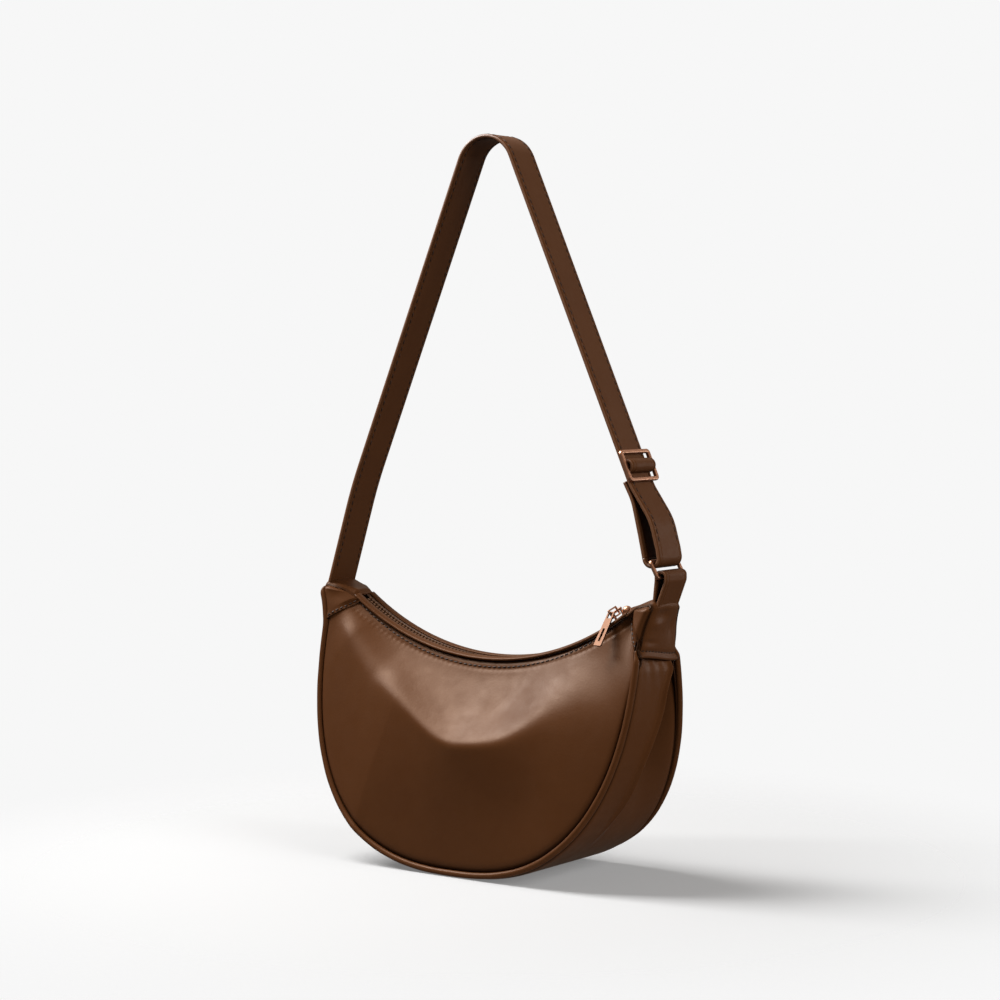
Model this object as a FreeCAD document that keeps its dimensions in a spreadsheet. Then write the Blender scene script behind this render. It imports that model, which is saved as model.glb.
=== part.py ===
import FreeCAD
import Part
import math
import os

import Sketcher
from FreeCAD import Placement, Rotation, Vector

# Half moon bag. X runs along the bag, -Y is the front, Z is up, and the origin is on the floor
# under the middle of the base. Lengths are in millimetres.

SIZES = (
    # Outline of the body, measured on the seam line between a panel and the gusset
    ("body_half_width", 115.5, "middle to seam where the sides stand upright"),
    ("side_height", 140.0, "height of that widest place"),
    ("seam_height", 2.1, "seam above the floor at the middle of the base"),
    ("base_press", 1.0, "depth to which the round base is pressed flat"),
    ("base_depth", 90.0, "front seam to back seam at the base"),
    ("tip_depth", 29.0, "front seam to back seam at the horn tips"),
    ("full_depth_height", 22.0, "height up to which the base keeps its depth"),
    ("zip_end_inset", 13.2, "end of the zip in from the upright sides"),
    ("zip_end_rise", 20.2, "end of the zip above the widest place"),
    ("tip_rise", 9.4, "corner of the horn, before it is rounded, above the end of the zip"),
    ("tip_flare", 9.5, "that corner out from the upright sides"),
    ("shoulder_flare", 3.0, "how far the sides lean out at the shoulder"),
    ("tip_round", 3.6, "radius of that corner"),
    ("shoulder_round", 60.0, "easy bend of the horn's side at the shoulder"),
    ("gusset_proud", 1.0, "gusset's outer face beyond the seam line"),
    # Sheet thicknesses and sewn gaps
    ("panel_thickness", 1.8, "front and back panels and their patches"),
    ("panel_bulge", 12.0, "bow of a panel at its middle"),
    ("patch_bulge", 1.2, "bow of a patch at the tip"),
    ("gusset_thickness", 2.4, "gusset and gusset patches"),
    ("lining_thickness", 0.7, "lining"),
    ("piping_diameter", 3.8, "piping"),
    ("seam_gap", 0.2, "between sewn neighbours"),
    ("patch_gap", 0.75, "between the patches of one horn"),
    ("lining_gap", 0.5, "between the lining and the leather"),
    # Zip, on a circle about a line along Y above the bag
    ("mouth_radius", 170.0, "radius of the zip's curve"),
    ("patch_run", 1.2, "end of the zip to the horn patches, along the curve"),
    ("tip_run", 3.6, "end of the zip to the inner end of the horn, along the curve"),
    ("tape_thickness", 0.8, "zip tape"),
    ("tape_reach", 9.0, "middle line to a tape's outer edge"),
    ("teeth_slit", 0.7, "middle line to a row of teeth"),
    ("tooth_length", 1.5, "tooth across the zip"),
    ("tooth_width", 1.5, "tooth along the zip"),
    ("tooth_height", 1.8, "tooth across the tape"),
    ("tooth_pitch", 2.6, "from tooth to tooth in one row"),
    ("welt_inset", 4.6, "middle line to a welt"),
    ("welt_breadth", 5.0, "welt across the zip"),
    ("welt_height", 2.2, "welt above the tape"),
    ("welt_round", 1.4, "rounded upper edges of a welt"),
    ("rim_reach", 7.2, "middle line to the inner face of a panel's rim"),
    ("lining_reach", 5.4, "middle line to the inner face of the lining's rim"),
    ("rim_gap", 0.4, "between a tape and the rims under it"),
    ("stop_length", 2.2, "zip stop along the zip"),
    ("stop_gap", 0.4, "zip stop to the end of the teeth"),
    # Slider, link and pull
    ("slider_inset", 11.3, "slider at rest from the end of the zip, along the curve"),
    ("slider_length", 13.0, "slider plates along the zip"),
    ("slider_width", 8.0, "slider plates across the zip"),
    ("slider_nose", 4.4, "width of the plates' narrow end"),
    ("plate_thickness", 1.1, "slider plates"),
    ("plate_lift", 1.5, "middle of the tape to the face of either plate"),
    ("post_length", 3.6, "slider post along the zip"),
    ("post_width", 0.8, "slider post across the zip"),
    ("dome_diameter", 5.6, "domed nose of the slider"),
    ("dome_lift", 4.4, "middle of the dome above the tape"),
    ("dome_ahead", 5.4, "middle of the dome ahead of the slider's middle"),
    ("bail_diameter", 1.5, "bail wire"),
    ("bail_length", 6.0, "bail between the middles of its legs"),
    ("bail_lift", 7.9, "middle of the bail above the tape"),
    ("bail_back", 1.2, "middle of the bail behind the slider's middle"),
    ("link_length", 10.4, "pull link, outside"),
    ("link_width", 5.8, "pull link, outside"),
    ("link_wire", 0.9, "pull link wire"),
    ("link_gap", 0.3, "link to the bail it hangs on"),
    ("pull_length", 24.0, "zip pull"),
    ("pull_top_width", 4.2, "zip pull at the link"),
    ("pull_end_width", 5.0, "zip pull at its free end"),
    ("pull_thickness", 1.0, "zip pull"),
    ("pull_hole", 4.0, "eye of the pull along its length"),
    ("pull_eye_width", 2.5, "eye of the pull across"),
    ("pull_eye_inset", 0.7, "metal above the eye"),
    ("pull_eye_rise", 1.1, "eye above the middle of the link's bar"),
    ("pull_slot_length", 9.0, "slot in the pull"),
    ("pull_slot_width", 1.5, "slot in the pull"),
    ("pull_slot_inset", 3.0, "metal below the slot"),
    ("pull_corner", 0.8, "rounded corners of the pull"),
    ("link_slope_angle", 13.0, "link below the tape's level at rest, in degrees"),
    ("pull_slope_angle", 50.0, "pull below the level at rest, in degrees"),
    # Strap, ring, tab and buckle
    ("strap_width", 25.0, "strap"),
    ("strap_thickness", 2.6, "strap"),
    ("root_gap", 0.3, "strap and tab above the horn they are sewn to"),
    ("left_root_inset", 5.8, "strap root in from the horn's corner"),
    ("left_bend_inset", 24.5, "gentle bend of the left leg in from the horn's corner"),
    ("left_bend_rise", 58.4, "that bend above the horn's corner"),
    ("left_bend_radius", 300.0, "radius of that bend"),
    ("crown_x", 0.7, "where the two legs would meet"),
    ("crown_rise", 300.4, "where they would meet, above the horn's corner"),
    ("crown_radius", 22.0, "strap's middle line over the top"),
    ("leg_end_inset", 20.0, "end of the straight right leg in from the horn's corner"),
    ("leg_end_rise", 63.6, "that end above the horn's corner"),
    ("loop_inset", 5.2, "middle of the strap's loop round the ring in from the horn's corner"),
    ("loop_rise", 22.8, "that middle above the horn's corner"),
    ("loop_width", 9.8, "strap's two layers apart at the ring"),
    ("loop_round", 4.5, "strap's middle line round the ring"),
    ("bow_radius", 34.0, "gentle bends of the two layers"),
    ("tail_gap", 0.4, "tail's end below the straight leg"),
    ("ring_wire", 2.2, "ring wire"),
    ("ring_play", 0.5, "strap's edge to the ring, each side"),
    ("ring_pitch", 10.2, "between the middles of the ring's long bars"),
    ("ring_corner", 2.4, "outer corners of the ring"),
    ("ring_lean_angle", 29.0, "ring away from upright, in degrees"),
    ("wire_round", 0.7, "rounded edges of ring and buckle"),
    ("ring_seat_gap", 0.3, "ring bar to the strap and the tab"),
    ("tab_thickness", 2.0, "leather tab"),
    ("tab_width", 24.0, "leather tab"),
    ("tab_round", 3.2, "tab's middle line round the ring"),
    ("tab_root_inset", 3.8, "middle of the tab's root in from the horn's corner"),
    ("tab_root_gap", 0.3, "between the tab's layers at the root"),
    ("buckle_wire", 2.4, "buckle bars"),
    ("buckle_play", 0.6, "strap's edge to the buckle, each side"),
    ("buckle_pitch", 8.6, "middle bar to an outer bar"),
    ("buckle_corner", 2.6, "outer corners of the buckle"),
    ("buckle_rise", 10.8, "buckle's middle above the end of the straight leg"),
    ("buckle_gap", 0.35, "strap to the buckle's bars"),
    ("bridge_gap", 0.4, "hump of the strap round the middle bar"),
    ("sketch_tolerance", 0.001, "edges closer than this are the same"),
    ("overrun", 5.0, "cuts run this far past what they cut"),
)

# Shape shares: how outlines run between the sizes above
OUTLINE_POWER = 2.5
SIDE_SHARE = 0.92
FLARE_POWER = 1.5
PANEL_STATIONS = 17
GUSSET_STATIONS = 25
PATCH_RISE_SHARE = 0.17
SHOULDER_RISE_SHARE = 0.507
PATCH_SHARES = (0.0, 0.3, 0.55, 0.72, 0.86, 1.0)
END_BULGE_SHARE = 0.2
BULGE_PLACE_SHARE = 0.52
# Strap between the straight leg and the ring: share of that drop, share of the loop's width
OUTER_BOW_SHARES = ((0.42, 1.45), (0.78, 1.3))
TAIL_BOW_SHARES = ((0.62, -0.62), (0.18, -0.28))
TAIL_END_SHARE = 0.12
TAB_BEND_SHARES = (1.6, 0.7, 0.7, 1.6)
TAB_SIDE_SHARE = 1.6
SLIDER_SHOULDER_SHARE = -0.05
POST_PLACE_SHARE = 0.32
TOOTH_OFFSET_SHARE = 0.5
TOOTH_CHAMFER_SHARE = 0.16
LINK_CORNER_SHARE = 0.9
OUTLINE_STEP_SHARE = 0.002

FRONT = -1
BACK = 1

# The same places as in the functions below, for the bound sketches
ZIP_END = "(sizes.body_half_width - sizes.zip_end_inset)"
ZIP_TURN = f"2 * asin({ZIP_END} / sizes.mouth_radius)"
MOUTH_MIDDLE = f"(sizes.side_height + sizes.zip_end_rise + sqrt(sizes.mouth_radius ^ 2 - {ZIP_END} ^ 2))"
MOUTH_LOW = f"({MOUTH_MIDDLE} - sizes.mouth_radius)"

doc = FreeCAD.newDocument("half_moon_bag")
sheet = doc.addObject("Spreadsheet::Sheet", "sizes")
for row, (alias, value, note) in enumerate(SIZES, start=1):
    sheet.set(f"A{row}", alias)
    sheet.set(f"B{row}", str(value))
    sheet.set(f"C{row}", note)
    sheet.setAlias(f"B{row}", alias)
doc.recompute()

subparts = []


def size(alias):
    """A driving size from the sheet."""
    return float(sheet.get(alias))


def feature(label, shape):
    """A sewn or formed piece whose shape is worked out from the sheet."""
    piece = doc.addObject("Part::Feature", label)
    piece.Label = label
    piece.Shape = shape
    piece.Placement = Placement()
    subparts.append(piece)
    return piece


# Flat paths in the XZ plane: straight runs joined by tangent arcs

def unit(vector):
    """The same direction, one long."""
    length = math.hypot(vector[0], vector[1])
    return (vector[0] / length, vector[1] / length)


def rounded_path(points, radii):
    """Runs through the points, with an arc of the given radius at each inner point."""
    path = []
    start = points[0]
    for here, ahead, behind, radius in zip(points[1:-1], points[2:], points[:-2], radii):
        into = unit((here[0] - behind[0], here[1] - behind[1]))
        out = unit((ahead[0] - here[0], ahead[1] - here[1]))
        cross = into[0] * out[1] - into[1] * out[0]
        turn = math.atan2(cross, into[0] * out[0] + into[1] * out[1])
        reach = radius * math.tan(abs(turn) / 2)
        first = (here[0] - into[0] * reach, here[1] - into[1] * reach)
        side = math.copysign(1, turn)
        middle = (first[0] - into[1] * radius * side, first[1] + into[0] * radius * side)
        path.append(("line", start, first))
        begin = math.atan2(first[1] - middle[1], first[0] - middle[0])
        path.append(("arc", middle, radius, begin, turn))
        start = (here[0] + out[0] * reach, here[1] + out[1] * reach)
    path.append(("line", start, points[-1]))
    return path


def shifted_ends(segment, shift):
    """First, middle and last point of a segment moved to its left by shift."""
    if segment[0] == "line":
        run = unit((segment[2][0] - segment[1][0], segment[2][1] - segment[1][1]))
        ends = [(p[0] - run[1] * shift, p[1] + run[0] * shift) for p in segment[1:3]]
        return [ends[0], None, ends[1]]
    middle, radius, begin, turn = segment[1:]
    reach = radius - shift * math.copysign(1, turn)
    return [(middle[0] + reach * math.cos(begin + turn * share),
             middle[1] + reach * math.sin(begin + turn * share)) for share in (0, 0.5, 1)]


def at_y(point, y=0.0):
    """A point of the XZ plane, at the given depth."""
    return Vector(point[0], y, point[1])


def segment_edge(first, middle, last):
    """A straight edge, or an arc where there is a middle point."""
    if middle is None:
        return Part.LineSegment(at_y(first), at_y(last)).toShape()
    return Part.Arc(at_y(first), at_y(middle), at_y(last)).toShape()


def band_face(path, left, right):
    """The face of a band along a path, from its left side to its right side."""
    left_side = [shifted_ends(segment, left) for segment in path]
    right_side = [shifted_ends(segment, right) for segment in path]
    edges = [segment_edge(*ends) for ends in left_side + right_side]
    edges.append(segment_edge(left_side[0][0], None, right_side[0][0]))
    edges.append(segment_edge(left_side[-1][2], None, right_side[-1][2]))
    return Part.Face(Part.Wire(Part.__sortEdges__(edges)))


def strap_face(path, thickness):
    """The face of a band of even thickness about a path."""
    return band_face(path, thickness / 2, -thickness / 2)


def extruded_band(label, face, width_alias, place=Placement()):
    """A flat leather band: its side view, carried across the strap's width."""
    side_view = doc.addObject("Part::Feature", label + "_side_view")
    side_view.Shape = face
    side_view.Placement = place
    band = doc.addObject("Part::Extrusion", label)
    band.Label = label
    band.Base = side_view
    band.DirMode = "Custom"
    band.Dir = Vector(0, 1, 0)
    band.Solid = True
    band.Symmetric = True
    band.setExpression("LengthFwd", "sizes." + width_alias)
    subparts.append(band)


# The body's outline

def superellipse(angle, half_width, drop):
    """Point below the widest place: a rounded outline between a circle and a box."""
    across = abs(math.sin(angle)) / half_width
    down = math.cos(angle) / drop
    reach = (across ** OUTLINE_POWER + max(down, 0) ** OUTLINE_POWER) ** (-1 / OUTLINE_POWER)
    return (reach * math.sin(angle), size("side_height") - reach * math.cos(angle))


def outline_point(share, proud=0.0, base=None):
    """Half outline from the base, share 0, to the shoulder, share 1."""
    half_width = size("body_half_width") + proud
    if share <= SIDE_SHARE:
        drop = size("side_height") - (size("seam_height") if base is None else base)
        return superellipse(math.pi / 2 * share / SIDE_SHARE, half_width, drop)
    climb = (share - SIDE_SHARE) / (1 - SIDE_SHARE)
    rise = horn_height(SHOULDER_RISE_SHARE) - size("side_height")
    return (half_width + size("shoulder_flare") * climb ** FLARE_POWER,
            size("side_height") + rise * climb)


def outline_inward(share, proud=0.0, base=None):
    """Unit vector from the outline into the bag."""
    before = outline_point(max(share - OUTLINE_STEP_SHARE, 0), proud, base)
    after = outline_point(min(share + OUTLINE_STEP_SHARE, 1), proud, base)
    run = unit((after[0] - before[0], after[1] - before[1]))
    return (-run[1], run[0])


def half_depth(height):
    """Half of the bag's depth at a height: full at the base, narrow at the tips."""
    climb = (height - size("full_depth_height")) / (tip_corner()[1] - size("full_depth_height"))
    narrow = (size("base_depth") - size("tip_depth")) / 2 * max(climb, 0)
    return size("base_depth") / 2 - narrow


def mouth_point(angle, below):
    """Point on the zip's curve, angle from its lowest place, lowered by below."""
    reach = size("mouth_radius") + below
    return (reach * math.sin(angle), mouth_centre_z() - reach * math.cos(angle))


def mouth_low():
    """Height of the lowest place of the zip's curve."""
    return mouth_centre_z() - size("mouth_radius")


def mouth_centre_z():
    """Height of the line about which the zip curves."""
    end_z = size("side_height") + size("zip_end_rise")
    return end_z + size("mouth_radius") * math.cos(zip_angle())


def zip_angle(run=0.0):
    """Angle of the zip's end, or of a place that far past it along the curve."""
    end_share = (size("body_half_width") - size("zip_end_inset")) / size("mouth_radius")
    return math.asin(end_share) + run / size("mouth_radius")


def tip_corner():
    """Corner of the right horn, before it is rounded."""
    return (size("body_half_width") + size("tip_flare"), mouth_point(zip_angle(), 0.0)[1] + size("tip_rise"))


def horn_height(share):
    """Height at a share of the way from the widest place to the horn's corner."""
    return size("side_height") + (tip_corner()[1] - size("side_height")) * share


def from_tip(inset, rise):
    """Place in from the horn's corner and above it, from two named sizes."""
    corner = tip_corner()
    return (corner[0] - size(inset), corner[1] + size(rise))


def patch_share():
    """Share of the half outline where the horn patches begin."""
    return SIDE_SHARE + (1 - SIDE_SHARE) * PATCH_RISE_SHARE / SHOULDER_RISE_SHARE


def horn_path():
    """Outer face of the right horn's gusset patch: side, tip and top."""
    proud = size("gusset_proud")
    begin = outline_point(patch_share(), proud)
    shoulder = outline_point(1.0, proud)
    inner_end = mouth_point(zip_angle(size("tip_run")), -size("tape_thickness") / 2)
    return rounded_path((begin, shoulder, tip_corner(), inner_end),
                        (size("shoulder_round"), size("tip_round")))


def path_length(ends):
    """Length of a path given by first, middle and last points."""
    return sum(segment_edge(*segment).Length for segment in ends)


def path_station(ends, share):
    """Point at a share of a path's length."""
    wanted = path_length(ends) * share
    for number, segment in enumerate(ends):
        edge = segment_edge(*segment)
        if wanted <= edge.Length or number == len(ends) - 1:
            wanted = min(wanted, edge.Length)
            point = edge.valueAt(edge.getParameterByLength(wanted))
            return (point.x, point.z)
        wanted -= edge.Length


# Panels: sections from the seam to the mouth, bowed out, lofted along the bag

def panel_section(seam, rim, seam_half, rim_half, start, bulge, thickness, mirror):
    """Closed section of a panel in the plane of seam, rim and Y."""
    run = unit((rim[0] - seam[0], rim[1] - seam[1]))
    length = math.hypot(rim[0] - seam[0], rim[1] - seam[1])

    def place(along, out):
        return Vector(seam[0] + run[0] * along, out * mirror, seam[1] + run[1] * along)

    middle = start + (length - start) * BULGE_PLACE_SHARE
    seam_out = seam_half + thickness / 2
    rim_out = rim_half + thickness
    middle_out = (seam_out + rim_out) / 2 + bulge
    outer = [place(start, seam_out), place(middle, middle_out), place(length, rim_out)]
    inner = [place(start, seam_out - thickness), place(middle, middle_out - thickness),
             place(length, rim_out - thickness)]
    edges = [Part.Arc(*outer).toShape(), Part.LineSegment(outer[2], inner[2]).toShape(),
             Part.Arc(*reversed(inner)).toShape(), Part.LineSegment(inner[0], outer[0]).toShape()]
    return Part.Wire(edges)


def rim_drop():
    """How far the panels' rims lie below the middle of the tape."""
    return size("tape_thickness") / 2 + size("rim_gap")


def panel_bow(share):
    """Bow of a panel: most at the middle, least at its ends."""
    return size("panel_bulge") * (1 - (1 - END_BULGE_SHARE) * share * share)


def panel(mirror):
    """A crescent panel between the two horn patches."""
    sections = []
    clear = size("piping_diameter") / 2 + size("seam_gap")
    for number in range(PANEL_STATIONS):
        share = 2 * number / (PANEL_STATIONS - 1) - 1
        side = math.copysign(1, share)
        seam = outline_point(abs(share) * patch_share())
        inward = outline_inward(abs(share) * patch_share())
        seam = (side * seam[0], seam[1])
        rim = mouth_point(zip_angle(size("patch_run")) * share, rim_drop())
        run = unit((rim[0] - seam[0], rim[1] - seam[1]))
        start = clear / (run[0] * side * inward[0] + run[1] * inward[1])
        sections.append(panel_section(seam, rim, half_depth(seam[1]), size("rim_reach"), start,
                                      panel_bow(share), size("panel_thickness"), mirror))
    return Part.makeLoft(sections, True, False)


def mirrored_x(shape):
    """The same piece on the left."""
    return shape.mirror(Vector(0, 0, 0), Vector(1, 0, 0))


def horn_patch(mirror):
    """Right overlay on a panel's horn, from its diagonal seam to the top of the tip."""
    sections = []
    edge = [shifted_ends(segment, size("gusset_proud")) for segment in horn_path()]
    last_share = 1 - run_on_top_share(edge)
    for share in PATCH_SHARES:
        seam = path_station(edge, share * last_share)
        run_past = size("patch_run") + (size("tip_run") - size("patch_run")) * share
        rim = mouth_point(zip_angle(run_past), rim_drop())
        bow = panel_bow(1.0) + (size("patch_bulge") - panel_bow(1.0)) * share
        sections.append(panel_section(seam, rim, half_depth(seam[1]), size("rim_reach"), 0.0, bow,
                                      size("panel_thickness"), mirror))
    return Part.makeLoft(sections, True, False)


def run_on_top_share(edge):
    """Share of the horn's path that is the straight run on its top."""
    return segment_edge(*edge[-1]).Length / path_length(edge)


# Gusset, its patches and the piping

def strip_section(point, inward, half, thickness):
    """Flat section across the gusset."""
    inner = (point[0] + inward[0] * thickness, point[1] + inward[1] * thickness)
    corners = [at_y(point, -half), at_y(point, half), at_y(inner, half), at_y(inner, -half)]
    return Part.makePolygon(corners + corners[:1])


def gusset():
    """The strip round the sides and base, pressed flat where it stands on the floor."""
    sections = []
    proud = size("gusset_proud")
    base = -size("base_press")
    reach = size("piping_diameter") / 2 + size("seam_gap")
    for number in range(GUSSET_STATIONS):
        share = 2 * number / (GUSSET_STATIONS - 1) - 1
        side = math.copysign(1, share)
        part = abs(share) * patch_share()
        point = outline_point(part, proud, base)
        inward = outline_inward(part, proud, base)
        if part == 0:
            inward = (0.0, 1.0)
        half = half_depth(outline_point(part)[1]) - reach
        sections.append(strip_section((side * point[0], point[1]), (side * inward[0], inward[1]),
                                      half, size("gusset_thickness")))
    strip = Part.makeLoft(sections, True, False)
    floor = Part.makeBox(2 * size("body_half_width"), size("base_depth"), size("overrun"),
                         Vector(-size("body_half_width"), -size("base_depth") / 2, -size("overrun")))
    return strip.cut(floor)


def gusset_patch():
    """Right overlay on the gusset's end, folded over the tip as far as the zip."""
    path = horn_path()
    wide = size("base_depth") / 2
    past = size("overrun")
    reach = size("panel_thickness") / 2 + size("patch_gap")
    band = band_face(path, size("gusset_thickness"), 0.0).extrude(Vector(0, 2 * wide, 0))
    band.translate(Vector(0, -wide, 0))
    top_begin, inner_end = path[-1][1:]
    low, high = horn_height(PATCH_RISE_SHARE) - past, horn_height(1) + past
    sides = [(half_depth(low) - reach, low), (half_depth(high) - reach, high)]
    corners = [Vector(0, y, z) for y, z in sides] + [Vector(0, -y, z) for y, z in reversed(sides)]
    taper = Part.Face(Part.makePolygon(corners + corners[:1])).extrude(Vector(tip_corner()[0] + past, 0, 0))
    patch = band.common(taper)
    near, far = size("rim_reach") - size("patch_gap"), half_depth(top_begin[1]) - reach
    floor = inner_end[1] - past
    for sign in (FRONT, BACK):
        corners = [(inner_end[0] - past, near), (inner_end[0], near), (top_begin[0], far),
                   (top_begin[0], wide), (inner_end[0] - past, wide)]
        corners = [Vector(x, sign * y, floor) for x, y in corners]
        wedge = Part.Face(Part.makePolygon(corners + corners[:1]))
        patch = patch.cut(wedge.extrude(Vector(0, 0, high - floor)))
    return patch.Solids[0]


def piping(mirror):
    """Round cord along a panel's seam, between the horn patches."""
    rings = []
    for number in range(GUSSET_STATIONS):
        share = 2 * number / (GUSSET_STATIONS - 1) - 1
        side = math.copysign(1, share)
        part = abs(share) * patch_share()
        point = outline_point(part)
        inward = outline_inward(part) if part else (0.0, 1.0)
        centre = Vector(side * point[0], mirror * half_depth(point[1]), point[1])
        along = Vector(inward[1], 0, -side * inward[0])
        circle = Part.Circle(centre, along, size("piping_diameter") / 2)
        rings.append(Part.Wire(circle.toShape()))
    return Part.makeLoft(rings, True, False)


# Lining: one thin bag of cloth inside panels and gusset

def lining_section(share):
    """U-shaped section of the lining at a station along the bag."""
    part = abs(share) * patch_share()
    side = math.copysign(1, share)
    seam = outline_point(part)
    seam = (side * seam[0], seam[1])
    rim = mouth_point(zip_angle(size("patch_run")) * share, rim_drop())
    run = unit((rim[0] - seam[0], rim[1] - seam[1]))
    length = math.hypot(rim[0] - seam[0], rim[1] - seam[1])
    thickness = size("lining_thickness")
    base = size("gusset_thickness") + size("lining_gap")
    wall = size("panel_thickness") / 2 + size("lining_gap")

    def place(along, out):
        return Vector(seam[0] + run[0] * along, out, seam[1] + run[1] * along)

    def wall_arc(inset, sign):
        low = half_depth(seam[1]) - wall - inset
        high = size("lining_reach") + thickness - inset
        bow = panel_bow(share) * (low + high) / (half_depth(seam[1]) + size("rim_reach"))
        middle = base + inset + (length - base - inset) * BULGE_PLACE_SHARE
        return [place(base + inset, sign * low), place(middle, sign * ((low + high) / 2 + bow)),
                place(length, sign * high)]

    front = wall_arc(0.0, -1)
    back = wall_arc(0.0, 1)
    front_in = wall_arc(thickness, -1)
    back_in = wall_arc(thickness, 1)
    edges = [Part.Arc(*reversed(front)).toShape(), Part.LineSegment(front[0], back[0]).toShape(),
             Part.Arc(*back).toShape(), Part.LineSegment(back[2], back_in[2]).toShape(),
             Part.Arc(*reversed(back_in)).toShape(),
             Part.LineSegment(back_in[0], front_in[0]).toShape(),
             Part.Arc(*front_in).toShape(), Part.LineSegment(front_in[2], front[2]).toShape()]
    return Part.Wire(edges)


def lining():
    """The lining from horn to horn."""
    shares = [2 * number / (PANEL_STATIONS - 1) - 1 for number in range(PANEL_STATIONS)]
    return Part.makeLoft([lining_section(share) for share in shares], True, False)


# Zip: tapes and welts turned about the mouth's line, teeth set along the tapes

def plane_of(body, role):
    """An origin plane of a body."""
    return next(plane for plane in body.Origin.OriginFeatures if plane.Role == role)


def new_body(label):
    """A body that becomes a sub-part."""
    body = doc.addObject("PartDesign::Body", label)
    body.Label = label
    subparts.append(body)
    return body


def sketch_on(body, name, role, lift=None):
    """A sketch on one of the body's planes, lifted off it by an expression."""
    sketch = body.newObject("Sketcher::SketchObject", name)
    sketch.AttachmentSupport = [(plane_of(body, role), "")]
    sketch.MapMode = "FlatFace"
    if lift:
        sketch.setExpression("AttachmentOffset.Base.z", lift)
    doc.recompute()
    return sketch


def outline_sketch(body, name, role, corners, lift=None, axis_height=None):
    """Closed outline whose corners are bound to expressions of the sheet."""
    sketch = sketch_on(body, name, role, lift)
    places = [tuple(float(sketch.evalExpression(text)) for text in corner) for corner in corners]
    for number, place in enumerate(places):
        ahead = places[(number + 1) % len(places)]
        sketch.addGeometry(Part.LineSegment(Vector(*place, 0), Vector(*ahead, 0)), False)
    for number in range(len(places)):
        ahead = (number + 1) % len(places)
        sketch.addConstraint(Sketcher.Constraint("Coincident", number, 2, ahead, 1))
    for number, corner in enumerate(corners):
        for kind, axis, text in zip(("DistanceX", "DistanceY"), (-2, -1), corner):
            value = float(sketch.evalExpression(text))
            if value == 0:
                sketch.addConstraint(Sketcher.Constraint("PointOnObject", number, 1, axis))
                continue
            index = sketch.addConstraint(Sketcher.Constraint(kind, number, 1, value))
            sketch.setExpression(f"Constraints[{index}]", text)
    if axis_height:
        height = float(sketch.evalExpression(axis_height))
        line = Part.LineSegment(Vector(0, height, 0), Vector(places[0][0], height, 0))
        axis = sketch.addGeometry(line, True)
        sketch.addConstraint(Sketcher.Constraint("Horizontal", axis))
        sketch.addConstraint(Sketcher.Constraint("PointOnObject", axis, 1, -2))
        index = sketch.addConstraint(Sketcher.Constraint("DistanceY", axis, 1, height))
        sketch.setExpression(f"Constraints[{index}]", axis_height)
        index = sketch.addConstraint(Sketcher.Constraint("DistanceX", axis, 2, places[0][0]))
        sketch.setExpression(f"Constraints[{index}]", corners[0][0])
    doc.recompute()
    return sketch


def mirrored(corners, sign):
    """Corners on the back, sign 1, or on the front, sign -1."""
    return [(across if sign > 0 else f"-({across})", up) for across, up in corners]


def rectangle(low_x, low_y, high_x, high_y):
    """Corners of a rectangle from four expressions."""
    return [(low_x, low_y), (high_x, low_y), (high_x, high_y), (low_x, high_y)]


def turned_strip(label, corners, angle):
    """A strip along the zip: its section turned about the mouth's line."""
    body = new_body(label)
    sketch = outline_sketch(body, label + "_section", "YZ_Plane", corners,
                            axis_height=MOUTH_MIDDLE)
    strip = body.newObject("PartDesign::Revolution", label + "_turn")
    strip.Profile = sketch
    strip.ReferenceAxis = (sketch, ["Axis0"])
    strip.Midplane = True
    strip.setExpression("Angle", angle)
    doc.recompute()
    return body, strip


def zip_tape(label, sign):
    """One woven tape of the zip."""
    inner = "sizes.teeth_slit + sizes.tooth_length"
    low = MOUTH_LOW + " - sizes.tape_thickness / 2"
    high = MOUTH_LOW + " + sizes.tape_thickness / 2"
    corners = rectangle(inner, low, "sizes.tape_reach", high)
    turned_strip(label, mirrored(corners, sign), ZIP_TURN)


def zip_welt(label, sign):
    """Rolled leather edge on a tape, rounded on top."""
    low = MOUTH_LOW + " + sizes.tape_thickness / 2"
    high = low + " + sizes.welt_height"
    corners = rectangle("sizes.welt_inset", low, "sizes.welt_inset + sizes.welt_breadth", high)
    body, strip = turned_strip(label, mirrored(corners, sign), ZIP_TURN)
    top = size("mouth_radius") - size("tape_thickness") / 2 - size("welt_height")
    names = []
    for number, edge in enumerate(strip.Shape.Edges, start=1):
        curve = edge.Curve
        if hasattr(curve, "Radius") and abs(curve.Radius - top) < size("sketch_tolerance"):
            names.append(f"Edge{number}")
    rolled = body.newObject("PartDesign::Fillet", label + "_roll")
    rolled.Base = (strip, names)
    rolled.setExpression("Radius", "sizes.welt_round")
    doc.recompute()


def teeth_half_angle():
    """Half of the curve that the teeth cover, in degrees."""
    return math.degrees(zip_angle(-size("stop_length") - size("stop_gap")))


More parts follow.
